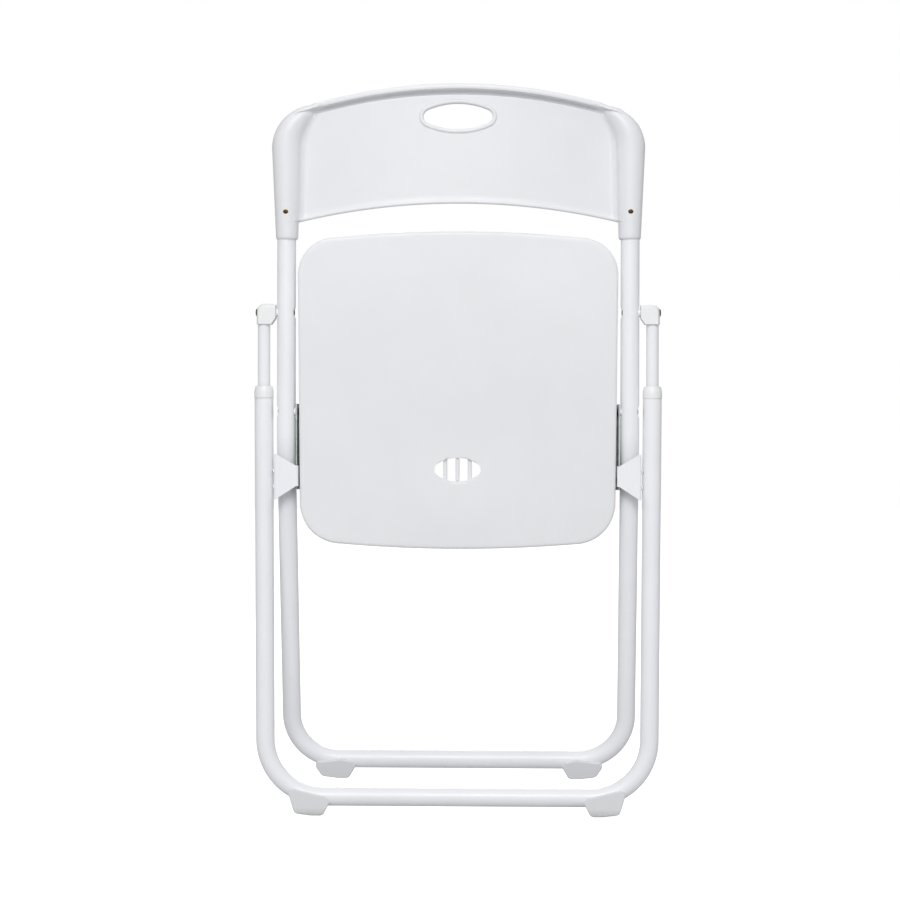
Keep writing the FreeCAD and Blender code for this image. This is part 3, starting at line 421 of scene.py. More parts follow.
SEAT_STEP, SEAT_SKIRT = 0.0045, 0.0026
seat_shape = bmesh.new()
seat_rings = []
for scale in [i / 46 for i in range(1, 46)] + [0.992]:
    seat_rings.append(seat_ring(0.006, SEAT_FACE_Y, scale, 1.0))
for i in range(7):
    angle = math.radians(90 * i / 6)
    seat_rings.append(seat_ring(0.0035 * (1 - math.sin(angle)),
                                SEAT_FACE_Y + 0.003 * (1 - math.cos(angle))))
plate_y = SEAT_FACE_Y + SEAT_PLATE
skirt_inside = SEAT_STEP + SEAT_SKIRT
below = ((0.0, plate_y - 0.0006), (0.0006, plate_y), (SEAT_STEP - 0.0008, plate_y),
         (SEAT_STEP, plate_y + 0.0008), (SEAT_STEP, SEAT_UNDER_Y - 0.0006),
         (SEAT_STEP + 0.0006, SEAT_UNDER_Y), (skirt_inside - 0.0006, SEAT_UNDER_Y),
         (skirt_inside, SEAT_UNDER_Y - 0.0006), (skirt_inside, plate_y + 0.001))
seat_rings += [seat_ring(inset, y) for inset, y in below]
for scale in [0.992] + [i / 24 for i in range(23, 0, -1)]:
    seat_rings.append(seat_ring(skirt_inside + 0.001, plate_y, scale, 1.0))
skin(seat_shape, seat_rings)
shell_plastic = moulded_polypropylene()
seat = piece_from(outward(seat_shape), "seat_moulding", shell_plastic, crease=48)


def oval(half, centre_z, grow=0.0, steps=30):
    """Points round an oval made of two wide arcs joined by tangent end arcs."""
    end = 0.56 * half[1]
    wide = ((half[0] - end) ** 2 + half[1] ** 2 - end ** 2) / (2 * (half[1] - end))
    joint = math.asin((half[0] - end) / (wide - end))
    points = []
    for sign in (1, -1):
        for i in range(steps):
            angle = joint - 2 * joint * i / steps
            points.append((sign * (wide + grow) * math.sin(angle),
                           centre_z + sign * ((wide + grow) * math.cos(angle) - wide + half[1])))
        for i in range(steps // 2):
            angle = -joint - (math.pi - 2 * joint) * i / (steps // 2)
            points.append((sign * (end - half[0] + (end + grow) * math.sin(angle)),
                           centre_z + sign * (end + grow) * math.cos(angle)))
    return points


def settle(piece, modifier):
    """Keep what a modifier makes as the piece's own plain mesh, and take the modifier off."""
    depsgraph = bpy.context.evaluated_depsgraph_get()
    result = bpy.data.meshes.new_from_object(piece.evaluated_get(depsgraph))
    piece.modifiers.remove(modifier)
    piece.data = result


def cut_through(piece, tool_shape, name):
    """Cut the tool's solid out of a piece, and leave the piece a plain mesh."""
    tool = piece_from(outward(tool_shape), name, piece.data.materials[0])
    opening = piece.modifiers.new("Opening", "BOOLEAN")
    opening.operation = "DIFFERENCE"
    opening.solver = "EXACT"
    opening.object = tool
    settle(piece, opening)
    bpy.data.objects.remove(tool)


vent_tool = bmesh.new()
slab(vent_tool, oval(VENT_HALF, VENT_Z), SEAT_FACE_Y - 0.01, SEAT_UNDER_Y + 0.02)
cut_through(seat, vent_tool, "vent_tool")
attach(seat, "seat")
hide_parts("seat_shell")

# ================================================================ seat ribs and vent bars
# Moulded in one with the seat: upright ribs each way under the plate, which end on the skirt, and
# the three bars across the vent. They repeat at even spacing, so one small tree lays each set.
RIB_THICKNESS = 0.0026


def new_tree(name, inputs):
    """A geometry tree with named inputs: the tree, its input sockets, and each key's identifier."""
    tree = bpy.data.node_groups.new(name, "GeometryNodeTree")
    tree.interface.new_socket("Geometry", in_out="OUTPUT", socket_type="NodeSocketGeometry")
    keys = {}
    for key, label, kind, value in inputs:
        socket = tree.interface.new_socket(label, in_out="INPUT", socket_type="NodeSocket" + kind)
        if value is not None:
            socket.default_value = value
        keys[key] = socket.identifier
    return tree, tree.nodes.new("NodeGroupInput").outputs, keys


def end_tree(tree, instances, material, smooth=False):
    """Make the instances real, give them their material and send them out."""
    last = add(tree, "GeometryNodeRealizeInstances", {"Geometry": instances})
    if smooth:
        last = add(tree, "GeometryNodeSetShadeSmooth", {"Geometry": last.outputs["Geometry"]})
    last = add(tree, "GeometryNodeSetMaterial",
               {"Geometry": last.outputs["Geometry"], "Material": material})
    add(tree, "NodeGroupOutput", {"Geometry": last.outputs["Geometry"]})


def bar_row_tree():
    """Equal bars side by side: how many, how far apart, and the size of each."""
    tree, sizes, keys = new_tree("bar_row", (
        ("count", "Count", "Int", 3), ("start", "First bar", "Vector", (0, 0, 0)),
        ("step", "Spacing", "Vector", (0, 0, 0)), ("size", "Bar size", "Vector", (0, 0, 0)),
        ("material", "Material", "Material", None)))
    row = add(tree, "GeometryNodeMeshLine", {
        "Count": sizes["Count"], "Start Location": sizes["First bar"], "Offset": sizes["Spacing"]},
        mode="OFFSET")
    bar = add(tree, "GeometryNodeMeshCube", {
        "Size": sizes["Bar size"], "Vertices X": 2, "Vertices Y": 2, "Vertices Z": 2})
    bars = add(tree, "GeometryNodeInstanceOnPoints", {
        "Points": row.outputs["Mesh"], "Instance": bar.outputs["Mesh"]})
    end_tree(tree, bars.outputs["Instances"], sizes["Material"])
    return tree, keys


def laid_by(tree, keys, mesh, body, slot, **sizes):
    """Run a tree once on a mesh and keep its result as a plain piece on a body."""
    piece = bpy.data.objects.new(mesh.name, mesh)
    bpy.context.scene.collection.objects.link(piece)
    modifier = piece.modifiers.new("Laid", "NODES")
    modifier.node_group = tree
    for key, size in sizes.items():
        modifier[keys[key]] = size
    settle(piece, modifier)
    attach(piece, body)
    return piece


bar_row, bar_keys = bar_row_tree()
rib_low_y, rib_high_y = SEAT_FACE_Y + 0.0036, SEAT_UNDER_Y - 0.002
rib_mid_y, rib_tall = (rib_low_y + rib_high_y) / 2, rib_high_y - rib_low_y
across_size = (2 * (SEAT_LOW_X - SEAT_STEP - 0.0012), rib_tall, RIB_THICKNESS)
rib_first_z = SEAT_LOW_Z + 0.134
along_size = (RIB_THICKNESS, rib_tall, SEAT_TOP_Z - SEAT_LOW_Z + 0.002)
along_mid_z = (SEAT_TOP_Z + SEAT_LOW_Z) / 2
vent_size = (0.0048, 0.0044, 0.0272)
# Name and count; first bar's middle, spacing and size; rounding and its segments.
bar_rows = (
    ("seat_ribs_across", 4, (0, rib_mid_y, rib_first_z), (0, 0, 0.056), across_size, 0.0005, 2),
    ("seat_rib_rear", 1, (0, rib_mid_y, SEAT_LOW_Z + 0.052), (0, 0, 0), across_size, 0.0005, 2),
    ("seat_ribs_along_left", 3, (-0.144, rib_mid_y, along_mid_z), (0.048, 0, 0), along_size, 0.0005, 2),
    ("seat_ribs_along_right", 3, (0.048, rib_mid_y, along_mid_z), (0.048, 0, 0), along_size, 0.0005, 2),
    ("vent_bars", 3, (-0.0144, SEAT_FACE_Y + 0.0072, VENT_Z), (0.0144, 0, 0), vent_size, 0.0012, 3))
for name, count, start, step, size, rounding, segments in bar_rows:
    bars = laid_by(bar_row, bar_keys, bpy.data.meshes.new(name), "seat", "shell_plastic", count=count,
                   start=start, step=step, size=size, material=shell_plastic)
    soften(bars, rounding, segments)

# ================================================================ backrest
# The backrest: a white polypropylene moulding whose side sleeves slip down over the tops of the
# front legs. Its panel bows back between them, with a lip along the top and a rimmed hand hole.
BACK_CROWN_Z = 0.8582
BACK_LOW_Z = 0.677
BACK_TOP_ARC = 0.691
BACK_TOP_X, BACK_LOW_X = 0.2196, 0.2146
BACK_CORNER = 0.050
CORNER_X = BACK_TOP_X - BACK_CORNER
SHOULDER_Z = BACK_CROWN_Z - BACK_TOP_ARC + math.sqrt((BACK_TOP_ARC - BACK_CORNER) ** 2 - CORNER_X ** 2)
PANEL_LOW_X, PANEL_LOW_Z, PANEL_LOW_ARC = 0.187, 0.6985, 0.884
PANEL_BOW, PANEL_SIDE_X = 0.875, 0.198
BLEND = 0.018
HANDLE_Z = 0.8205
HANDLE_HALF = (0.0405, 0.015)


def top_edge(x):
    """Height of the backrest's upper edge, with its rounded corners."""
    arc = BACK_CROWN_Z - BACK_TOP_ARC + math.sqrt(BACK_TOP_ARC ** 2 - x ** 2)
    reach = abs(x) - CORNER_X
    if reach <= -0.012:
        return arc
    corner = SHOULDER_Z + math.sqrt(max(0.0, BACK_CORNER ** 2 - max(0.0, reach) ** 2))
    return min(arc, corner) if reach > 0.012 else arc


def panel_low_edge(x):
    """Height of the panel's arched lower edge."""
    return (PANEL_LOW_Z + math.sqrt(PANEL_LOW_ARC ** 2 - x ** 2)
            - math.sqrt(PANEL_LOW_ARC ** 2 - PANEL_LOW_X ** 2))


def panel_rear_y(x):
    """The rear face of the bowed panel."""
    bow = math.sqrt(PANEL_BOW ** 2 - x ** 2) - math.sqrt(PANEL_BOW ** 2 - PANEL_SIDE_X ** 2)
    return HINGE_Y + 0.006 - bow


def sleeve_size(z):
    """Centre, half width and depth of a sleeve's slice, drawn in over the shoulder."""
    rise = (z - BACK_LOW_Z) / (BACK_CROWN_Z - BACK_LOW_Z)
    outer = BACK_LOW_X + (BACK_TOP_X - BACK_LOW_X) * min(1.0, (z - BACK_LOW_Z) / (SHOULDER_Z - BACK_LOW_Z))
    depth = 0.0136 + 0.0040 * rise
    inner = FRONT_LEG_X - depth
    bend = min(1.0, max(0.0, z - SHOULDER_Z) / BACK_CORNER)
    if bend > 0:
        outer = CORNER_X + BACK_CORNER * math.sqrt(1 - bend ** 2)
        depth *= math.sqrt(max(0.0, 1 - (bend / 0.985) ** 4))
        inner -= 0.022 * bend ** 2
    drawn_in = 0.0025 * (1 - math.sqrt(1 - max(0.0, 1 - (z - BACK_LOW_Z) / 0.0035) ** 2))
    outer = max(outer - drawn_in, inner + drawn_in + 0.0006)
    return (outer + inner + drawn_in) / 2, (outer - inner - drawn_in) / 2, max(depth - drawn_in, 0.0004)


def blended_rear_y(x, z):
    """The panel's rear face, drawn smoothly back into the sleeve beside it."""
    centre, half, depth = sleeve_size(z)
    reach = abs((abs(x) - centre) / half)
    sleeve = HINGE_Y + (reach - 1) * half * 2.0
    if reach < 1:
        sleeve = HINGE_Y - depth * math.sqrt(1 - reach ** 2)
    face = panel_rear_y(x)
    share = max(0.0, min(1.0, 0.5 + (face - sleeve) / (2 * BLEND)))
    return face + (sleeve - face) * share - BLEND * share * (1 - share)


def panel_ring(x):
    """The section of the panel at one place across: foot bead, face, groove, lip and front."""
    low, high = panel_low_edge(x), top_edge(x) - 0.0002
    fade = max(0.0, min(1.0, (0.1990 - abs(x)) / 0.050))
    fade = fade * fade * (3 - 2 * fade)
    lip, groove = 0.0008 + 0.0080 * fade, 0.0031 * max(0.0, 1.5 * fade - 0.5)
    front = panel_rear_y(x) + 0.0045
    bead = max(0.0, min(1.0, (0.194 - abs(x)) / 0.012))
    behind = [(0.0002, low), (-0.0012 * bead, low + 0.0008), (-0.0014 * bead, low + 0.0024)]
    behind += [(-0.0006 * bead, low + 0.0036)]
    face_low, face_high = low + 0.0060, high - 0.0122
    behind += [(0.0, face_low + (face_high - face_low) * i / 26) for i in range(27)]
    behind += [(groove * 0.6, high - 0.0116), (groove, high - 0.0108), (groove, high - 0.0074)]
    behind += [(groove * 0.7, high - 0.0067), (-lip * 0.5, high - 0.0062), (0.0004 - lip, high - 0.0060)]
    behind += [(-lip, high - 0.0052), (-lip, high - 0.0022), (0.0006 - lip, high - 0.0007),
               (0.002 - lip, high)]
    profile = [(front, low + 0.0012), (front - 0.0012, low)]
    profile += [(min(blended_rear_y(x, z) + y, front - 0.0014), z) for y, z in behind]
    profile += [(front - 0.0010, high), (front - 0.0003, high - 0.0005), (front, high - 0.002),
                (front, (low + high) / 2)]
    return [Vector((x, y, z)) for y, z in profile]


# The slices stand closer together where the panel turns into the sleeves.
stations = [-0.2018 + 0.0336 * i / 34 for i in range(34)] + [-0.1682 + 0.3364 * i / 120 for i in range(121)]
stations += [0.2018 - 0.0336 * i / 34 for i in range(33, -1, -1)]
panel_shape = bmesh.new()
skin(panel_shape, [panel_ring(x) for x in stations])
panel = piece_from(outward(panel_shape), "backrest_panel", shell_plastic, crease=60)
hole_tool = bmesh.new()
slab(hole_tool, oval(HANDLE_HALF, HANDLE_Z, grow=0.002), HINGE_Y - 0.06, HINGE_Y + 0.06)
cut_through(panel, hole_tool, "hole_tool")


def rim_ring(grow, y):
    """A ring round the hand hole that follows the bow of the panel."""
    middle = panel_rear_y(0.0)
    return [Vector((x, y + panel_rear_y(x) - middle, z)) for x, z in oval(HANDLE_HALF, HANDLE_Z, grow)]


rim_rear, rim_front = panel_rear_y(0.0) - 0.0018, panel_rear_y(0.0) + 0.0062
rim_section = [(0.0052, rim_rear + 0.0024), (0.0050, rim_rear + 0.0012), (0.0040, rim_rear + 0.0003)]
rim_section += [(0.0028, rim_rear), (0.0012, rim_rear + 0.0002), (0.0003, rim_rear + 0.0010)]
rim_section += [(0.0, rim_rear + 0.0022), (0.0, rim_front - 0.0012), (0.0008, rim_front - 0.0002)]
rim_section += [(0.0022, rim_front), (0.0032, rim_front - 0.0008), (0.0036, rim_front - 0.002)]
rim_shape = bmesh.new()
skin(rim_shape, [rim_ring(grow, y) for grow, y in rim_section], loop=True)
rim = piece_from(outward(rim_shape), "hand_hole_rim", shell_plastic, crease=60)


def sleeve_ring(side, z, sides=64):
    """A slice of a sleeve: round below, and drawn in towards the panel over the shoulder."""
    centre, half, depth = sleeve_size(z)
    angles = [2 * math.pi * k / sides for k in range(sides)]
    return [Vector((side * (centre + half * math.cos(a)), HINGE_Y + depth * math.sin(a), z))
            for a in angles]


levels = [BACK_LOW_Z + 0.0002 + 0.0034 * (i / 6) ** 1.6 for i in range(6)]
levels += [BACK_LOW_Z + 0.0036 + (SHOULDER_Z - BACK_LOW_Z - 0.0036) * i / 24 for i in range(25)]
levels += [SHOULDER_Z + BACK_CORNER * 0.975 * math.sin(math.radians(90 * i / 24)) for i in range(1, 25)]
sleeve_pieces = []
for side_name, side in (("left", -1), ("right", 1)):
    sleeve_shape = bmesh.new()
    skin(sleeve_shape, [sleeve_ring(side, z) for z in levels])
    sleeve_pieces.append(piece_from(outward(sleeve_shape), f"backrest_sleeve_{side_name}", shell_plastic,
                                    crease=50))
for piece in [panel, rim] + sleeve_pieces:
    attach(piece, "main_frame")
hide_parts("backrest_shell")

# ================================================================ slide rods
# Two straight steel rods, coated like the frame, that hang from the upper pivots and slide down
# inside the rear legs as the chair is folded open.
for side_name, side in (("left", -1), ("right", 1)):
    rod_shape = bmesh.new()
    rod_line = [Vector((side * REAR_LEG_X, HINGE_Y, 0.455 + 0.1326 * i / 12)) for i in range(13)]
    skin(rod_shape, rings_along(rod_line, 0.0073, 48))
    rod = piece_from(outward(rod_shape), f"rod_{side_name}", coated_steel)
    soften(rod, 0.0008, 2)
    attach(rod, f"rod_{side_name}_body")
    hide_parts(f"slide_rod_{side_name}")

# ================================================================ collars
# Moulded nylon caps pushed into the tops of the rear legs, which guide the rods. Each shows a
# chamfered crown and a thin joint line where its flange sits on the tube.


def moulded_nylon():
    """Off-white nylon: slightly waxy, with soft grain and a little yellowing from place to place."""
    material = empty_material("off_white_moulded_nylon")
    tree = material.node_tree
    place = add(tree, "ShaderNodeTexCoord").outputs["Object"]
    cloud = add(tree, "ShaderNodeTexNoise", {"Vector": place, "Scale": 45.0, "Detail": 4.0})
    tint = add(tree, "ShaderNodeMix", {
        "Factor": cloud.outputs["Fac"], 6: srgb("ECEDEF"), 7: srgb("F4F5F5")}, data_type="RGBA")
    grain = add(tree, "ShaderNodeTexNoise", {"Vector": place, "Scale": 1000.0, "Detail": 3.0})
    bump = add(tree, "ShaderNodeBump", {"Height": grain.outputs["Fac"], "Strength": 0.3,
                                        "Distance": 0.00005})
    gloss = add(tree, "ShaderNodeMapRange", {"Value": grain.outputs["Fac"], "To Min": 0.32, "To Max": 0.5})
    shader = add(tree, "ShaderNodeBsdfPrincipled", {
        "Base Color": tint.outputs[2], "Roughness": gloss.outputs["Result"], "IOR": 1.53,
        "Subsurface Weight": 0.08, "Subsurface Scale": 0.002, "Normal": bump.outputs["Normal"]})
    add(tree, "ShaderNodeOutputMaterial", {"Surface": shader.outputs["BSDF"]})
    return material


def turned(shape, profile, centre, sides=64):
    """A round piece from a closed profile of (radius, height), about an upright line."""
    rings = []
    for radius, z in profile:
        angles = [2 * math.pi * k / sides for k in range(sides)]
        rings.append([Vector((centre[0] + radius * math.cos(a), centre[1] + radius * math.sin(a), z))
                      for a in angles])
    skin(shape, rings, loop=True)


nylon = moulded_nylon()
collar_profile = [
    (0.0096, 0.466), (0.0101, 0.466), (0.0101, 0.4902), (0.01085, 0.4902), (0.01085, 0.4907),
    (0.01135, 0.4911), (0.01135, 0.4984), (0.0112, 0.4990), (0.0102, 0.5037), (0.0100, 0.5044),
    (0.0098, 0.5047), (0.0096, 0.5045), (0.0095, 0.5041), (0.0095, 0.5010), (0.0096, 0.4975)]
for side_name, side in (("left", -1), ("right", 1)):
    collar_shape = bmesh.new()
    turned(collar_shape, collar_profile, (side * REAR_LEG_X, HINGE_Y))
    collar = piece_from(outward(collar_shape), f"collar_{side_name}", nylon, crease=30)
    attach(collar, "rear_frame")
    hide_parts(f"tube_collar_{side_name}")

# ================================================================ knuckles
# Moulded nylon elbows on the upper pivots. Each holds the top of its rod and is riveted through
# to the front leg, with a washer between.
KNUCKLE_INNER_X, KNUCKLE_OUTER_X = 0.2145, 0.2372
for side_name, side in (("left", -1), ("right", 1)):
    top, low = ROD_PIVOT_Z + 0.0104, 0.5775
    inner, outer = KNUCKLE_INNER_X, KNUCKLE_OUTER_X
    outline = [(inner, top - 0.001), (inner, ROD_PIVOT_Z - 0.0065), (inner + 0.0052, low), (outer, low)]
    outline += [(outer, top - 0.0085), (outer - 0.0010, top - 0.0048), (outer - 0.0035, top - 0.0018)]
    outline += [(outer - 0.0075, top), (inner + 0.001, top)]
    knuckle_shape = bmesh.new()
    rings = []
    for step in range(-8, 9):
        angle = math.radians(step * 10.5)
        squeeze = 1 - (1 - math.cos(angle)) * 0.42
        y = HINGE_Y + 0.0103 * math.sin(angle)
        ring = []
        for x, z in outline:
            narrow = squeeze if x > outer - 0.009 else 1
            lower = squeeze if z > ROD_PIVOT_Z else 1
            ring.append(Vector((side * (outer - 0.0085 + (x - outer + 0.0085) * narrow), y,
                                ROD_PIVOT_Z + (z - ROD_PIVOT_Z) * lower)))
        rings.append(ring)
    skin(knuckle_shape, rings)
    knuckle = piece_from(outward(knuckle_shape), f"knuckle_moulding_{side_name}", nylon, crease=40)
    soften(knuckle, 0.0009, 3)
    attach(knuckle, f"rod_{side_name}_body")
    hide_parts(f"knuckle_{side_name}")

# ================================================================ seat rails
# Pressed steel angles beside and under the seat, zinc coated, which carry both seat pivots. They
# show as grey in the narrow gap beside the seat and along its underside.


def galvanised_steel():
    """Zinc-coated strip: cool grey metal with soft crystal patches about 6 mm across, fine drawing
    lines along the strip and a duller bloom over them."""
    material = empty_material("zinc_coated_steel_strip")
    tree = material.node_tree
    place = add(tree, "ShaderNodeTexCoord").outputs["Object"]
    crystal = add(tree, "ShaderNodeTexVoronoi", {"Vector": place, "Scale": 165.0, "Randomness": 1.0})
    tint = add(tree, "ShaderNodeMix", {
        "Factor": crystal.outputs["Color"], 6: srgb("A3ADAB"), 7: srgb("C6CCCA")}, data_type="RGBA")
    drawn = add(tree, "ShaderNodeMapping", {"Vector": place, "Scale": (900.0, 900.0, 22.0)})
    lines = add(tree, "ShaderNodeTexNoise",
                {"Vector": drawn.outputs["Vector"], "Scale": 1.0, "Detail": 3.0})
    gloss = add(tree, "ShaderNodeMapRange", {"Value": lines.outputs["Fac"], "To Min": 0.32, "To Max": 0.6})
    bump = add(tree, "ShaderNodeBump", {"Height": lines.outputs["Fac"], "Strength": 0.2,
                                        "Distance": 0.00003})
    shader = add(tree, "ShaderNodeBsdfPrincipled", {
        "Base Color": tint.outputs[2], "Metallic": 0.3, "Roughness": gloss.outputs["Result"],
        "Normal": bump.outputs["Normal"]})
    add(tree, "ShaderNodeOutputMaterial", {"Surface": shader.outputs["BSDF"]})
    return material


zinc_strip = galvanised_steel()
RAIL_X, RAIL_THICKNESS = 0.1888, 0.0017
EAR_LOW_Z, EAR_HIGH_Z = 0.383, 0.484
for side_name, side in (("left", -1), ("right", 1)):
    bend, strip_x = 0.0022, 0.1851
    outer_x, under_y = RAIL_X + RAIL_THICKNESS, SEAT_UNDER_Y + RAIL_THICKNESS
    section = [(outer_x, HINGE_Y - 0.0065)]
    quarter = [math.radians(a) for a in range(0, 91, 15)]
    section += [(outer_x - bend + bend * math.cos(a), under_y - bend + bend * math.sin(a)) for a in quarter]
    section += [(strip_x - 0.0003, under_y), (strip_x - 0.0003, SEAT_UNDER_Y)]
    inner_bend = bend - RAIL_THICKNESS
    section += [(RAIL_X - inner_bend + inner_bend * math.cos(a),
                 SEAT_UNDER_Y - inner_bend + inner_bend * math.sin(a)) for a in quarter[::-2]]
    section += [(RAIL_X, HINGE_Y - 0.0065)]
    rail_shape = bmesh.new()
    skin(rail_shape, [[Vector((side * x, y, z)) for x, y in section] for z in (EAR_LOW_Z, EAR_HIGH_Z)])
    strip = [(side * x, z) for x, z in ((0.1698, 0.366), (0.1730, 0.3622), (strip_x, 0.3622),
                                        (strip_x, 0.5118), (0.1730, 0.5118), (0.1698, 0.508))]
    slab(rail_shape, strip[::side], SEAT_UNDER_Y, under_y)
    rail = piece_from(outward(rail_shape), f"rail_{side_name}", zinc_strip, crease=30)
    soften(rail, 0.0003, 2)
    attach(rail, "seat")
    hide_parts(f"seat_rail_{side_name}")

# ================================================================ brackets
# Stamped steel channels, coated like the frame: a web behind the front leg, a flange between the
# seat and its rail and a flange on the rear leg's rivets. Bent from 1.6 mm sheet.
BRACKET_INNER_X = 0.187
for side_name, side in (("left", -1), ("right", 1)):
    sheet, back_y = 0.0016, HINGE_Y - 0.0124
    mid_back = back_y + sheet / 2
    inner_x, outer_x = BRACKET_INNER_X + sheet / 2, 0.2156 - sheet / 2
    fold = 0.0019
    inner_run = [(0.0114, 0.3922, 0.3938), (0.0106, 0.3902, 0.3958), (0.0070, 0.3877, 0.3990),
                 (0.0, 0.3875, 0.4034), (-0.006, 0.3873, 0.4070)]
    outer_run = [(-0.006, 0.3735, 0.4225), (0.0, 0.3742, 0.4196), (0.004, 0.3765, 0.4160),
                 (0.0070, 0.3800, 0.4120)]
    stations = [(inner_x, HINGE_Y + y, low, high) for y, low, high in inner_run]
    for angle in range(0, 91, 15):
        a = math.radians(angle)
        stations.append((inner_x + fold - fold * math.cos(a), mid_back + fold - fold * math.sin(a),
                         0.3870, 0.4110))
    for part in range(1, 8):
        along = part / 8
        x = inner_x + fold + (outer_x - inner_x - 2 * fold) * along
        stations.append((x, mid_back, 0.3870 - 0.0150 * along, 0.4110 + 0.0136 * along))
    for angle in range(0, 91, 15):
        a = math.radians(angle)
        stations.append((outer_x - fold + fold * math.sin(a), mid_back + fold - fold * math.cos(a),
                         0.3715, 0.4250))
    stations += [(outer_x, HINGE_Y + y, low, high) for y, low, high in outer_run]
    bracket_shape = bmesh.new()
    rows = []
    for x, y, low, high in stations:
        rows.append([bracket_shape.verts.new((side * x, y, low + (high - low) * k / 10))
                     for k in range(11)])
    for near, far in zip(rows, rows[1:]):
        for k in range(10):
            bracket_shape.faces.new((near[k], near[k + 1], far[k + 1], far[k]))
    bracket = piece_from(outward(bracket_shape), f"bracket_plate_{side_name}", coated_steel, crease=50)
    thick = bracket.modifiers.new("Sheet", "SOLIDIFY")
    thick.thickness = sheet
    thick.offset = 0.0
    soften(bracket, 0.0004, 3)
    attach(bracket, "rear_frame")
    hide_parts(f"bracket_{side_name}")

# ================================================================ rivets, washers, spacers and screws
# Zinc plated steel rivets through every pivot, nylon washers and spacers in the gaps they cross,
# pan head screws under the seat, and one screw through each backrest sleeve into the leg. The rivets
# and the screws under the seat are coloured near-black to dark grey: painted shade for the pressed flats.


def rivet_steel_painted_shade():
    """Zinc plated steel rivets and screws, coloured near-black to dark grey with duller and brighter spots;
    the dark colour is painted shade for the pressed flats round the pivots.
    """
    material = empty_material("rivet_steel_painted_shade")
    tree = material.node_tree
    place = add(tree, "ShaderNodeTexCoord").outputs["Object"]
    spots = add(tree, "ShaderNodeTexNoise", {"Vector": place, "Scale": 420.0, "Detail": 5.0})
    # The near-black to dark grey tint is painted shade, not the colour of bright zinc plating.
    tint = add(tree, "ShaderNodeMix", {
        "Factor": spots.outputs["Fac"], 6: srgb("14171C"), 7: srgb("5C616A")}, data_type="RGBA")
    gloss = add(tree, "ShaderNodeMapRange", {"Value": spots.outputs["Fac"], "To Min": 0.22, "To Max": 0.5})
    shader = add(tree, "ShaderNodeBsdfPrincipled", {
        "Base Color": tint.outputs[2], "Metallic": 1.0, "Roughness": gloss.outputs["Result"]})
    add(tree, "ShaderNodeOutputMaterial", {"Surface": shader.outputs["BSDF"]})
    return material


def passivated_steel():
    """Yellow-passivated steel screws, coloured near-black to dull brown in random spots."""
    material = empty_material("yellow_passivated_steel")
    tree = material.node_tree
    place = add(tree, "ShaderNodeTexCoord").outputs["Object"]
    spots = add(tree, "ShaderNodeTexNoise", {"Vector": place, "Scale": 500.0, "Detail": 5.0})
    tint = add(tree, "ShaderNodeMix", {
        "Factor": spots.outputs["Fac"], 6: srgb("1A150E"), 7: srgb("6E5A32")}, data_type="RGBA")
    gloss = add(tree, "ShaderNodeMapRange", {"Value": spots.outputs["Fac"], "To Min": 0.3, "To Max": 0.55})
    shader = add(tree, "ShaderNodeBsdfPrincipled", {
        "Base Color": tint.outputs[2], "Metallic": 0.9, "Roughness": gloss.outputs["Result"]})
    add(tree, "ShaderNodeOutputMaterial", {"Surface": shader.outputs["BSDF"]})
    return material


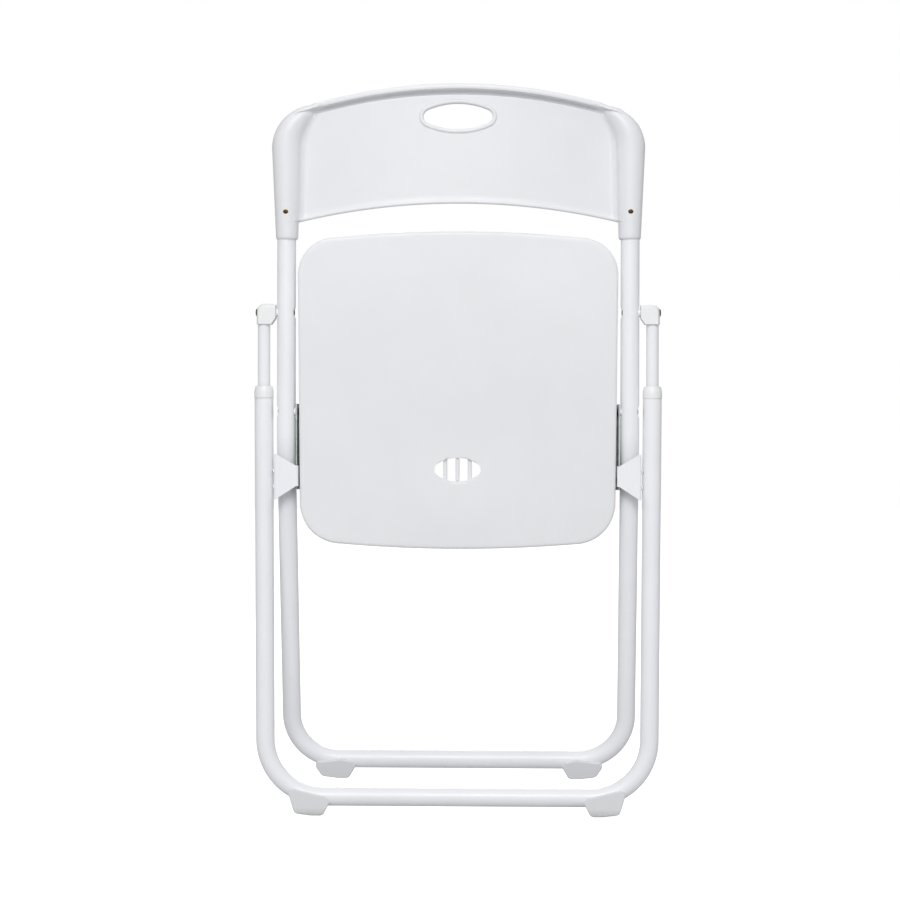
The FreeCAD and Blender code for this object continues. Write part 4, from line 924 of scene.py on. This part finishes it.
def fastener_tree():
    """A head on a shank at every point, each turned to face the way its point says. A recess size
    over zero cuts a cross into the head."""
    tree, sizes, keys = new_tree("fasteners", (
        ("points", "Points", "Geometry", None), ("head_radius", "Head radius", "Float", 0.005),
        ("head_height", "Head height", "Float", 0.0016), ("shank_radius", "Shank radius", "Float", 0.003),
        ("shank_length", "Shank length", "Float", 0.01), ("recess", "Recess width", "Float", 0.0),
        ("material", "Material", "Material", None)))
    radius, height, recess = sizes["Head radius"], sizes["Head height"], sizes["Recess width"]
    ball = add(tree, "GeometryNodeMeshUVSphere", {"Segments": 32, "Rings": 18, "Radius": 1.0})
    dome_size = add(tree, "ShaderNodeCombineXYZ", {"X": radius, "Y": radius, "Z": height})
    dome = add(tree, "GeometryNodeTransform", {
        "Geometry": ball.outputs["Mesh"], "Scale": dome_size.outputs["Vector"]})
    shank = add(tree, "GeometryNodeMeshCylinder", {
        "Vertices": 24, "Radius": sizes["Shank radius"], "Depth": sizes["Shank length"]})
    half = add(tree, "ShaderNodeMath", {0: sizes["Shank length"], 1: -0.5}, operation="MULTIPLY")
    drop = add(tree, "ShaderNodeCombineXYZ", {"Z": half.outputs[0]})
    hung = add(tree, "GeometryNodeTransform", {
        "Geometry": shank.outputs["Mesh"], "Translation": drop.outputs["Vector"]})
    long_side = add(tree, "ShaderNodeMath", {0: recess, 1: 4.2}, operation="MULTIPLY").outputs[0]
    cross = add(tree, "GeometryNodeJoinGeometry")
    for across, along in ((long_side, recess), (recess, long_side)):
        size = add(tree, "ShaderNodeCombineXYZ", {"X": across, "Y": along, "Z": height})
        box = add(tree, "GeometryNodeMeshCube", {"Size": size.outputs["Vector"]})
        tree.links.new(box.outputs["Mesh"], cross.inputs["Geometry"])
    lift = add(tree, "ShaderNodeCombineXYZ", {"Z": height})
    raised = add(tree, "GeometryNodeTransform", {
        "Geometry": cross.outputs["Geometry"], "Translation": lift.outputs["Vector"]})
    cut = add(tree, "GeometryNodeMeshBoolean", {
        "Mesh 1": dome.outputs["Geometry"], "Mesh 2": raised.outputs["Geometry"]}, operation="DIFFERENCE")
    recessed = add(tree, "FunctionNodeCompare", {0: recess, 1: 0.00001}, operation="GREATER_THAN")
    head = add(tree, "GeometryNodeSwitch", {
        "Switch": recessed.outputs[0], "False": dome.outputs["Geometry"], "True": cut.outputs["Mesh"]},
        input_type="GEOMETRY")
    whole = add(tree, "GeometryNodeJoinGeometry")
    tree.links.new(head.outputs[0], whole.inputs["Geometry"])
    tree.links.new(hung.outputs["Geometry"], whole.inputs["Geometry"])
    facing = add(tree, "GeometryNodeInputNamedAttribute", {"Name": "facing"}, data_type="FLOAT_VECTOR")
    turn = add(tree, "FunctionNodeAlignRotationToVector", {"Vector": facing.outputs[0]}, axis="Z")
    placed = add(tree, "GeometryNodeInstanceOnPoints", {
        "Points": sizes["Points"], "Instance": whole.outputs["Geometry"],
        "Rotation": turn.outputs["Rotation"]})
    end_tree(tree, placed.outputs["Instances"], sizes["Material"], smooth=True)
    return tree, keys


fastener_group, fastener_keys = fastener_tree()
painted_shade_rivet_metal = rivet_steel_painted_shade()
yellow = passivated_steel()
OUT, IN = (1, 0, 0), (-1, 0, 0)
flat_in, flat_out = FRONT_LEG_X - TUBE_RADIUS + FLAT_DEPTH, FRONT_LEG_X + TUBE_RADIUS - FLAT_DEPTH
rear_pivot_z = joints["rear_fold"]["pos_m"][2]
BRACKET_RIVETS_Z = (0.386, 0.404)
rail_under_y = SEAT_UNDER_Y + RAIL_THICKNESS
# Name, body, slot and node; place on the right-hand side, heights and the way each head faces;
# head radius and height, shank radius and length, recess width, and metal.
fastener_rows = (
    ("rod_rivets_outer", "main_frame", "rivet_steel", "rod_pivot_rivets",
     KNUCKLE_OUTER_X, HINGE_Y, (ROD_PIVOT_Z,), OUT, 0.0046, 0.0015, 0.003, 0.043, 0.0, painted_shade_rivet_metal),
    ("rod_rivets_inner", "main_frame", "rivet_steel", None,
     flat_in, HINGE_Y, (ROD_PIVOT_Z,), IN, 0.005, 0.0014, 0.003, 0.004, 0.0, painted_shade_rivet_metal),
    ("seat_rivets_outer", "main_frame", "rivet_steel", "seat_pivot_rivets",
     flat_out, HINGE_Y, (SEAT_PIVOT_Z,), OUT, 0.005, 0.0015, 0.003, 0.0222, 0.0, painted_shade_rivet_metal),
    ("seat_rivets_inner", "main_frame", "rivet_steel", None,
     RAIL_X - 0.0001, HINGE_Y, (SEAT_PIVOT_Z,), IN, 0.005, 0.0016, 0.003, 0.004, 0.0, painted_shade_rivet_metal),
    ("rear_pivot_heads", "seat", "rivet_steel", "rear_pivot_rivets", BRACKET_INNER_X - 0.0001,
     HINGE_Y + 0.006, (rear_pivot_z,), IN, 0.005, 0.0015, 0.003, 0.0036, 0.0, painted_shade_rivet_metal),
    ("bracket_rivet_heads", "rear_frame", "rivet_steel", "bracket_rivets",
     0.214, HINGE_Y - 0.003, BRACKET_RIVETS_Z, IN, 0.0038, 0.0012, 0.002, 0.0055, 0.0, painted_shade_rivet_metal),
    ("seat_rail_screw_set", "seat", "screw_steel", "seat_rail_screws",
     0.1745, rail_under_y, (0.376, 0.437, 0.498), (0, 1, 0), 0.004, 0.0022, 0.002, 0.012, 0.0009, painted_shade_rivet_metal),
    ("backrest_screw_set", "main_frame", "screw_brass", "backrest_screws",
     FRONT_LEG_X, HINGE_Y - 0.0128, (0.7093,), (0, -1, 0), 0.0036, 0.0022, 0.0019, 0.006, 0.0008, yellow))
for row in fastener_rows:
    name, body, slot, node, x, y, heights, way = row[:8]
    mesh = bpy.data.meshes.new(name)
    mesh.from_pydata([(side * x, y, z) for side in (-1, 1) for z in heights], [], [])
    mesh.attributes.new("facing", "FLOAT_VECTOR", "POINT")
    for point, place in zip(mesh.attributes["facing"].data, mesh.vertices):
        point.vector = (math.copysign(1, place.co.x) * way[0], way[1], way[2])
    head_radius, head_height, shank_radius, shank_length, recess, material = row[8:]
    fasteners = laid_by(fastener_group, fastener_keys, mesh, body, slot, head_radius=head_radius,
                        head_height=head_height, shank_radius=shank_radius, shank_length=shank_length,
                        recess=recess, material=material)
    if node:
        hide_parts(node)


def washer_row_tree():
    """Rings across the chair: one at each point, with its bore and its thickness."""
    tree, sizes, keys = new_tree("washers", (
        ("points", "Points", "Geometry", None), ("radius", "Radius", "Float", 0.005),
        ("bore", "Bore radius", "Float", 0.003), ("thickness", "Thickness", "Float", 0.002),
        ("material", "Material", "Material", None)))
    radius, bore = sizes["Radius"], sizes["Bore radius"]
    middle = add(tree, "ShaderNodeMath", {0: radius, 1: bore}, operation="ADD")
    middle = add(tree, "ShaderNodeMath", {0: middle.outputs[0], 1: 0.5}, operation="MULTIPLY")
    width = add(tree, "ShaderNodeMath", {0: radius, 1: bore}, operation="SUBTRACT")
    path = add(tree, "GeometryNodeCurvePrimitiveCircle", {"Resolution": 40, "Radius": middle.outputs[0]})
    section = add(tree, "GeometryNodeCurvePrimitiveQuadrilateral", {
        "Width": width.outputs[0], "Height": sizes["Thickness"]})
    corner = add(tree, "GeometryNodeFilletCurve", {
        "Curve": section.outputs["Curve"], "Radius": 0.0003, "Count": 3}, mode="POLY")
    ring = add(tree, "GeometryNodeCurveToMesh", {
        "Curve": path.outputs["Curve"], "Profile Curve": corner.outputs["Curve"]})
    quarter = add(tree, "GeometryNodeTransform", {
        "Geometry": ring.outputs["Mesh"], "Rotation": (0.0, math.pi / 2, 0.0)})
    placed = add(tree, "GeometryNodeInstanceOnPoints", {
        "Points": sizes["Points"], "Instance": quarter.outputs["Geometry"]})
    end_tree(tree, placed.outputs["Instances"], sizes["Material"])
    return tree, keys


washer_group, washer_keys = washer_row_tree()
# Name, body and node; X, Z and step in Y from the hinge line; radius, bore radius and thickness.
washer_rows = (
    ("rod_washers", "main_frame", "rod_pivot_washers", 0.2126, ROD_PIVOT_Z, 0.0, 0.0053, 0.0031, 0.0035),
    ("seat_washers", "main_frame", "seat_pivot_washers", 0.1921, SEAT_PIVOT_Z, 0.0, 0.0053, 0.0031, 0.0029),
    ("bracket_spacer_low", "rear_frame", "bracket_spacers", 0.2167, BRACKET_RIVETS_Z[0], -0.003, 0.0027,
     0.0019, 0.0022),
    ("bracket_spacer_high", "rear_frame", None, 0.2167, BRACKET_RIVETS_Z[1], -0.003, 0.0027, 0.0019,
     0.0022))
for name, body, node, x, z, y, radius, bore, thickness in washer_rows:
    mesh = bpy.data.meshes.new(name)
    mesh.from_pydata([(-x, HINGE_Y + y, z), (x, HINGE_Y + y, z)], [], [])
    washers = laid_by(washer_group, washer_keys, mesh, body, "washer_nylon", radius=radius, bore=bore,
                      thickness=thickness, material=nylon)
    if node:
        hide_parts(node)

# ================================================================ floor, light and camera
# A plain white studio sweep with one broad soft light behind the camera and weaker ones above and
# beyond, so that the white chair's edges turn darker than its faces.


def studio_paper():
    """Matt white paper with barely any tooth."""
    material = empty_material("studio_paper")
    tree = material.node_tree
    place = add(tree, "ShaderNodeTexCoord").outputs["Object"]
    tooth = add(tree, "ShaderNodeTexNoise", {"Vector": place, "Scale": 3.0, "Detail": 3.0})
    tint = add(tree, "ShaderNodeMix", {
        "Factor": tooth.outputs["Fac"], 6: srgb("BCBCBC"), 7: srgb("C4C4C4")}, data_type="RGBA")
    seen = add(tree, "ShaderNodeLightPath").outputs["Is Camera Ray"]
    glow = add(tree, "ShaderNodeMapRange", {"Value": seen, "To Min": 0.06, "To Max": 1.0})
    shader = add(tree, "ShaderNodeBsdfPrincipled", {
        "Base Color": tint.outputs[2], "Roughness": 0.95, "Emission Color": srgb("FFFFFF"),
        "Emission Strength": glow.outputs["Result"]})
    add(tree, "ShaderNodeOutputMaterial", {"Surface": shader.outputs["BSDF"]})
    return material


floor_shape = bmesh.new()
bmesh.ops.create_grid(floor_shape, x_segments=2, y_segments=2, size=14.0)
floor = piece_from(floor_shape, "studio_floor", studio_paper())
floor.location.z = -0.0005


def soft_light(name, place, aim, size, watts):
    lamp = bpy.data.lights.new(name, "AREA")
    lamp.shape = "RECTANGLE"
    lamp.size, lamp.size_y = size
    lamp.energy = watts
    holder = bpy.data.objects.new(name, lamp)
    holder.location = place
    holder.rotation_euler = (Vector(aim) - Vector(place)).to_track_quat("-Z", "Y").to_euler()
    bpy.context.scene.collection.objects.link(holder)


soft_light("front_softbox", (-0.2, -3.3, 2.3), (0.0, 0.0, 0.45), (2.0, 1.4), 73)
soft_light("overhead_softbox", (0.0, -0.4, 2.4), (0.0, 0.0, 0.5), (1.6, 1.0), 4)
soft_light("back_softbox", (0.4, 2.6, 1.8), (0.0, 0.0, 0.4), (1.8, 1.2), 22)

world = bpy.data.worlds.new("studio_air")
world.use_nodes = True
world.node_tree.nodes.clear()
seen = add(world.node_tree, "ShaderNodeLightPath").outputs["Is Camera Ray"]
glow = add(world.node_tree, "ShaderNodeMapRange", {"Value": seen, "To Min": 0.44, "To Max": 1.0})
air = add(world.node_tree, "ShaderNodeBackground",
          {"Color": srgb("FFFFFF"), "Strength": glow.outputs["Result"]})
add(world.node_tree, "ShaderNodeOutputWorld", {"Surface": air.outputs["Background"]})
bpy.context.scene.world = world
bpy.context.scene.view_settings.view_transform = "Standard"

lens_data = bpy.data.cameras.new("camera")
lens_data.sensor_width = 36.0
lens_data.lens = 100.45
camera = bpy.data.objects.new("camera", lens_data)
camera.location = (0.072, -3.0, 0.436)
camera.rotation_euler = (math.radians(90 - 0.12), math.radians(-0.13), math.radians(1.57))
bpy.context.scene.collection.objects.link(camera)
bpy.context.scene.camera = camera
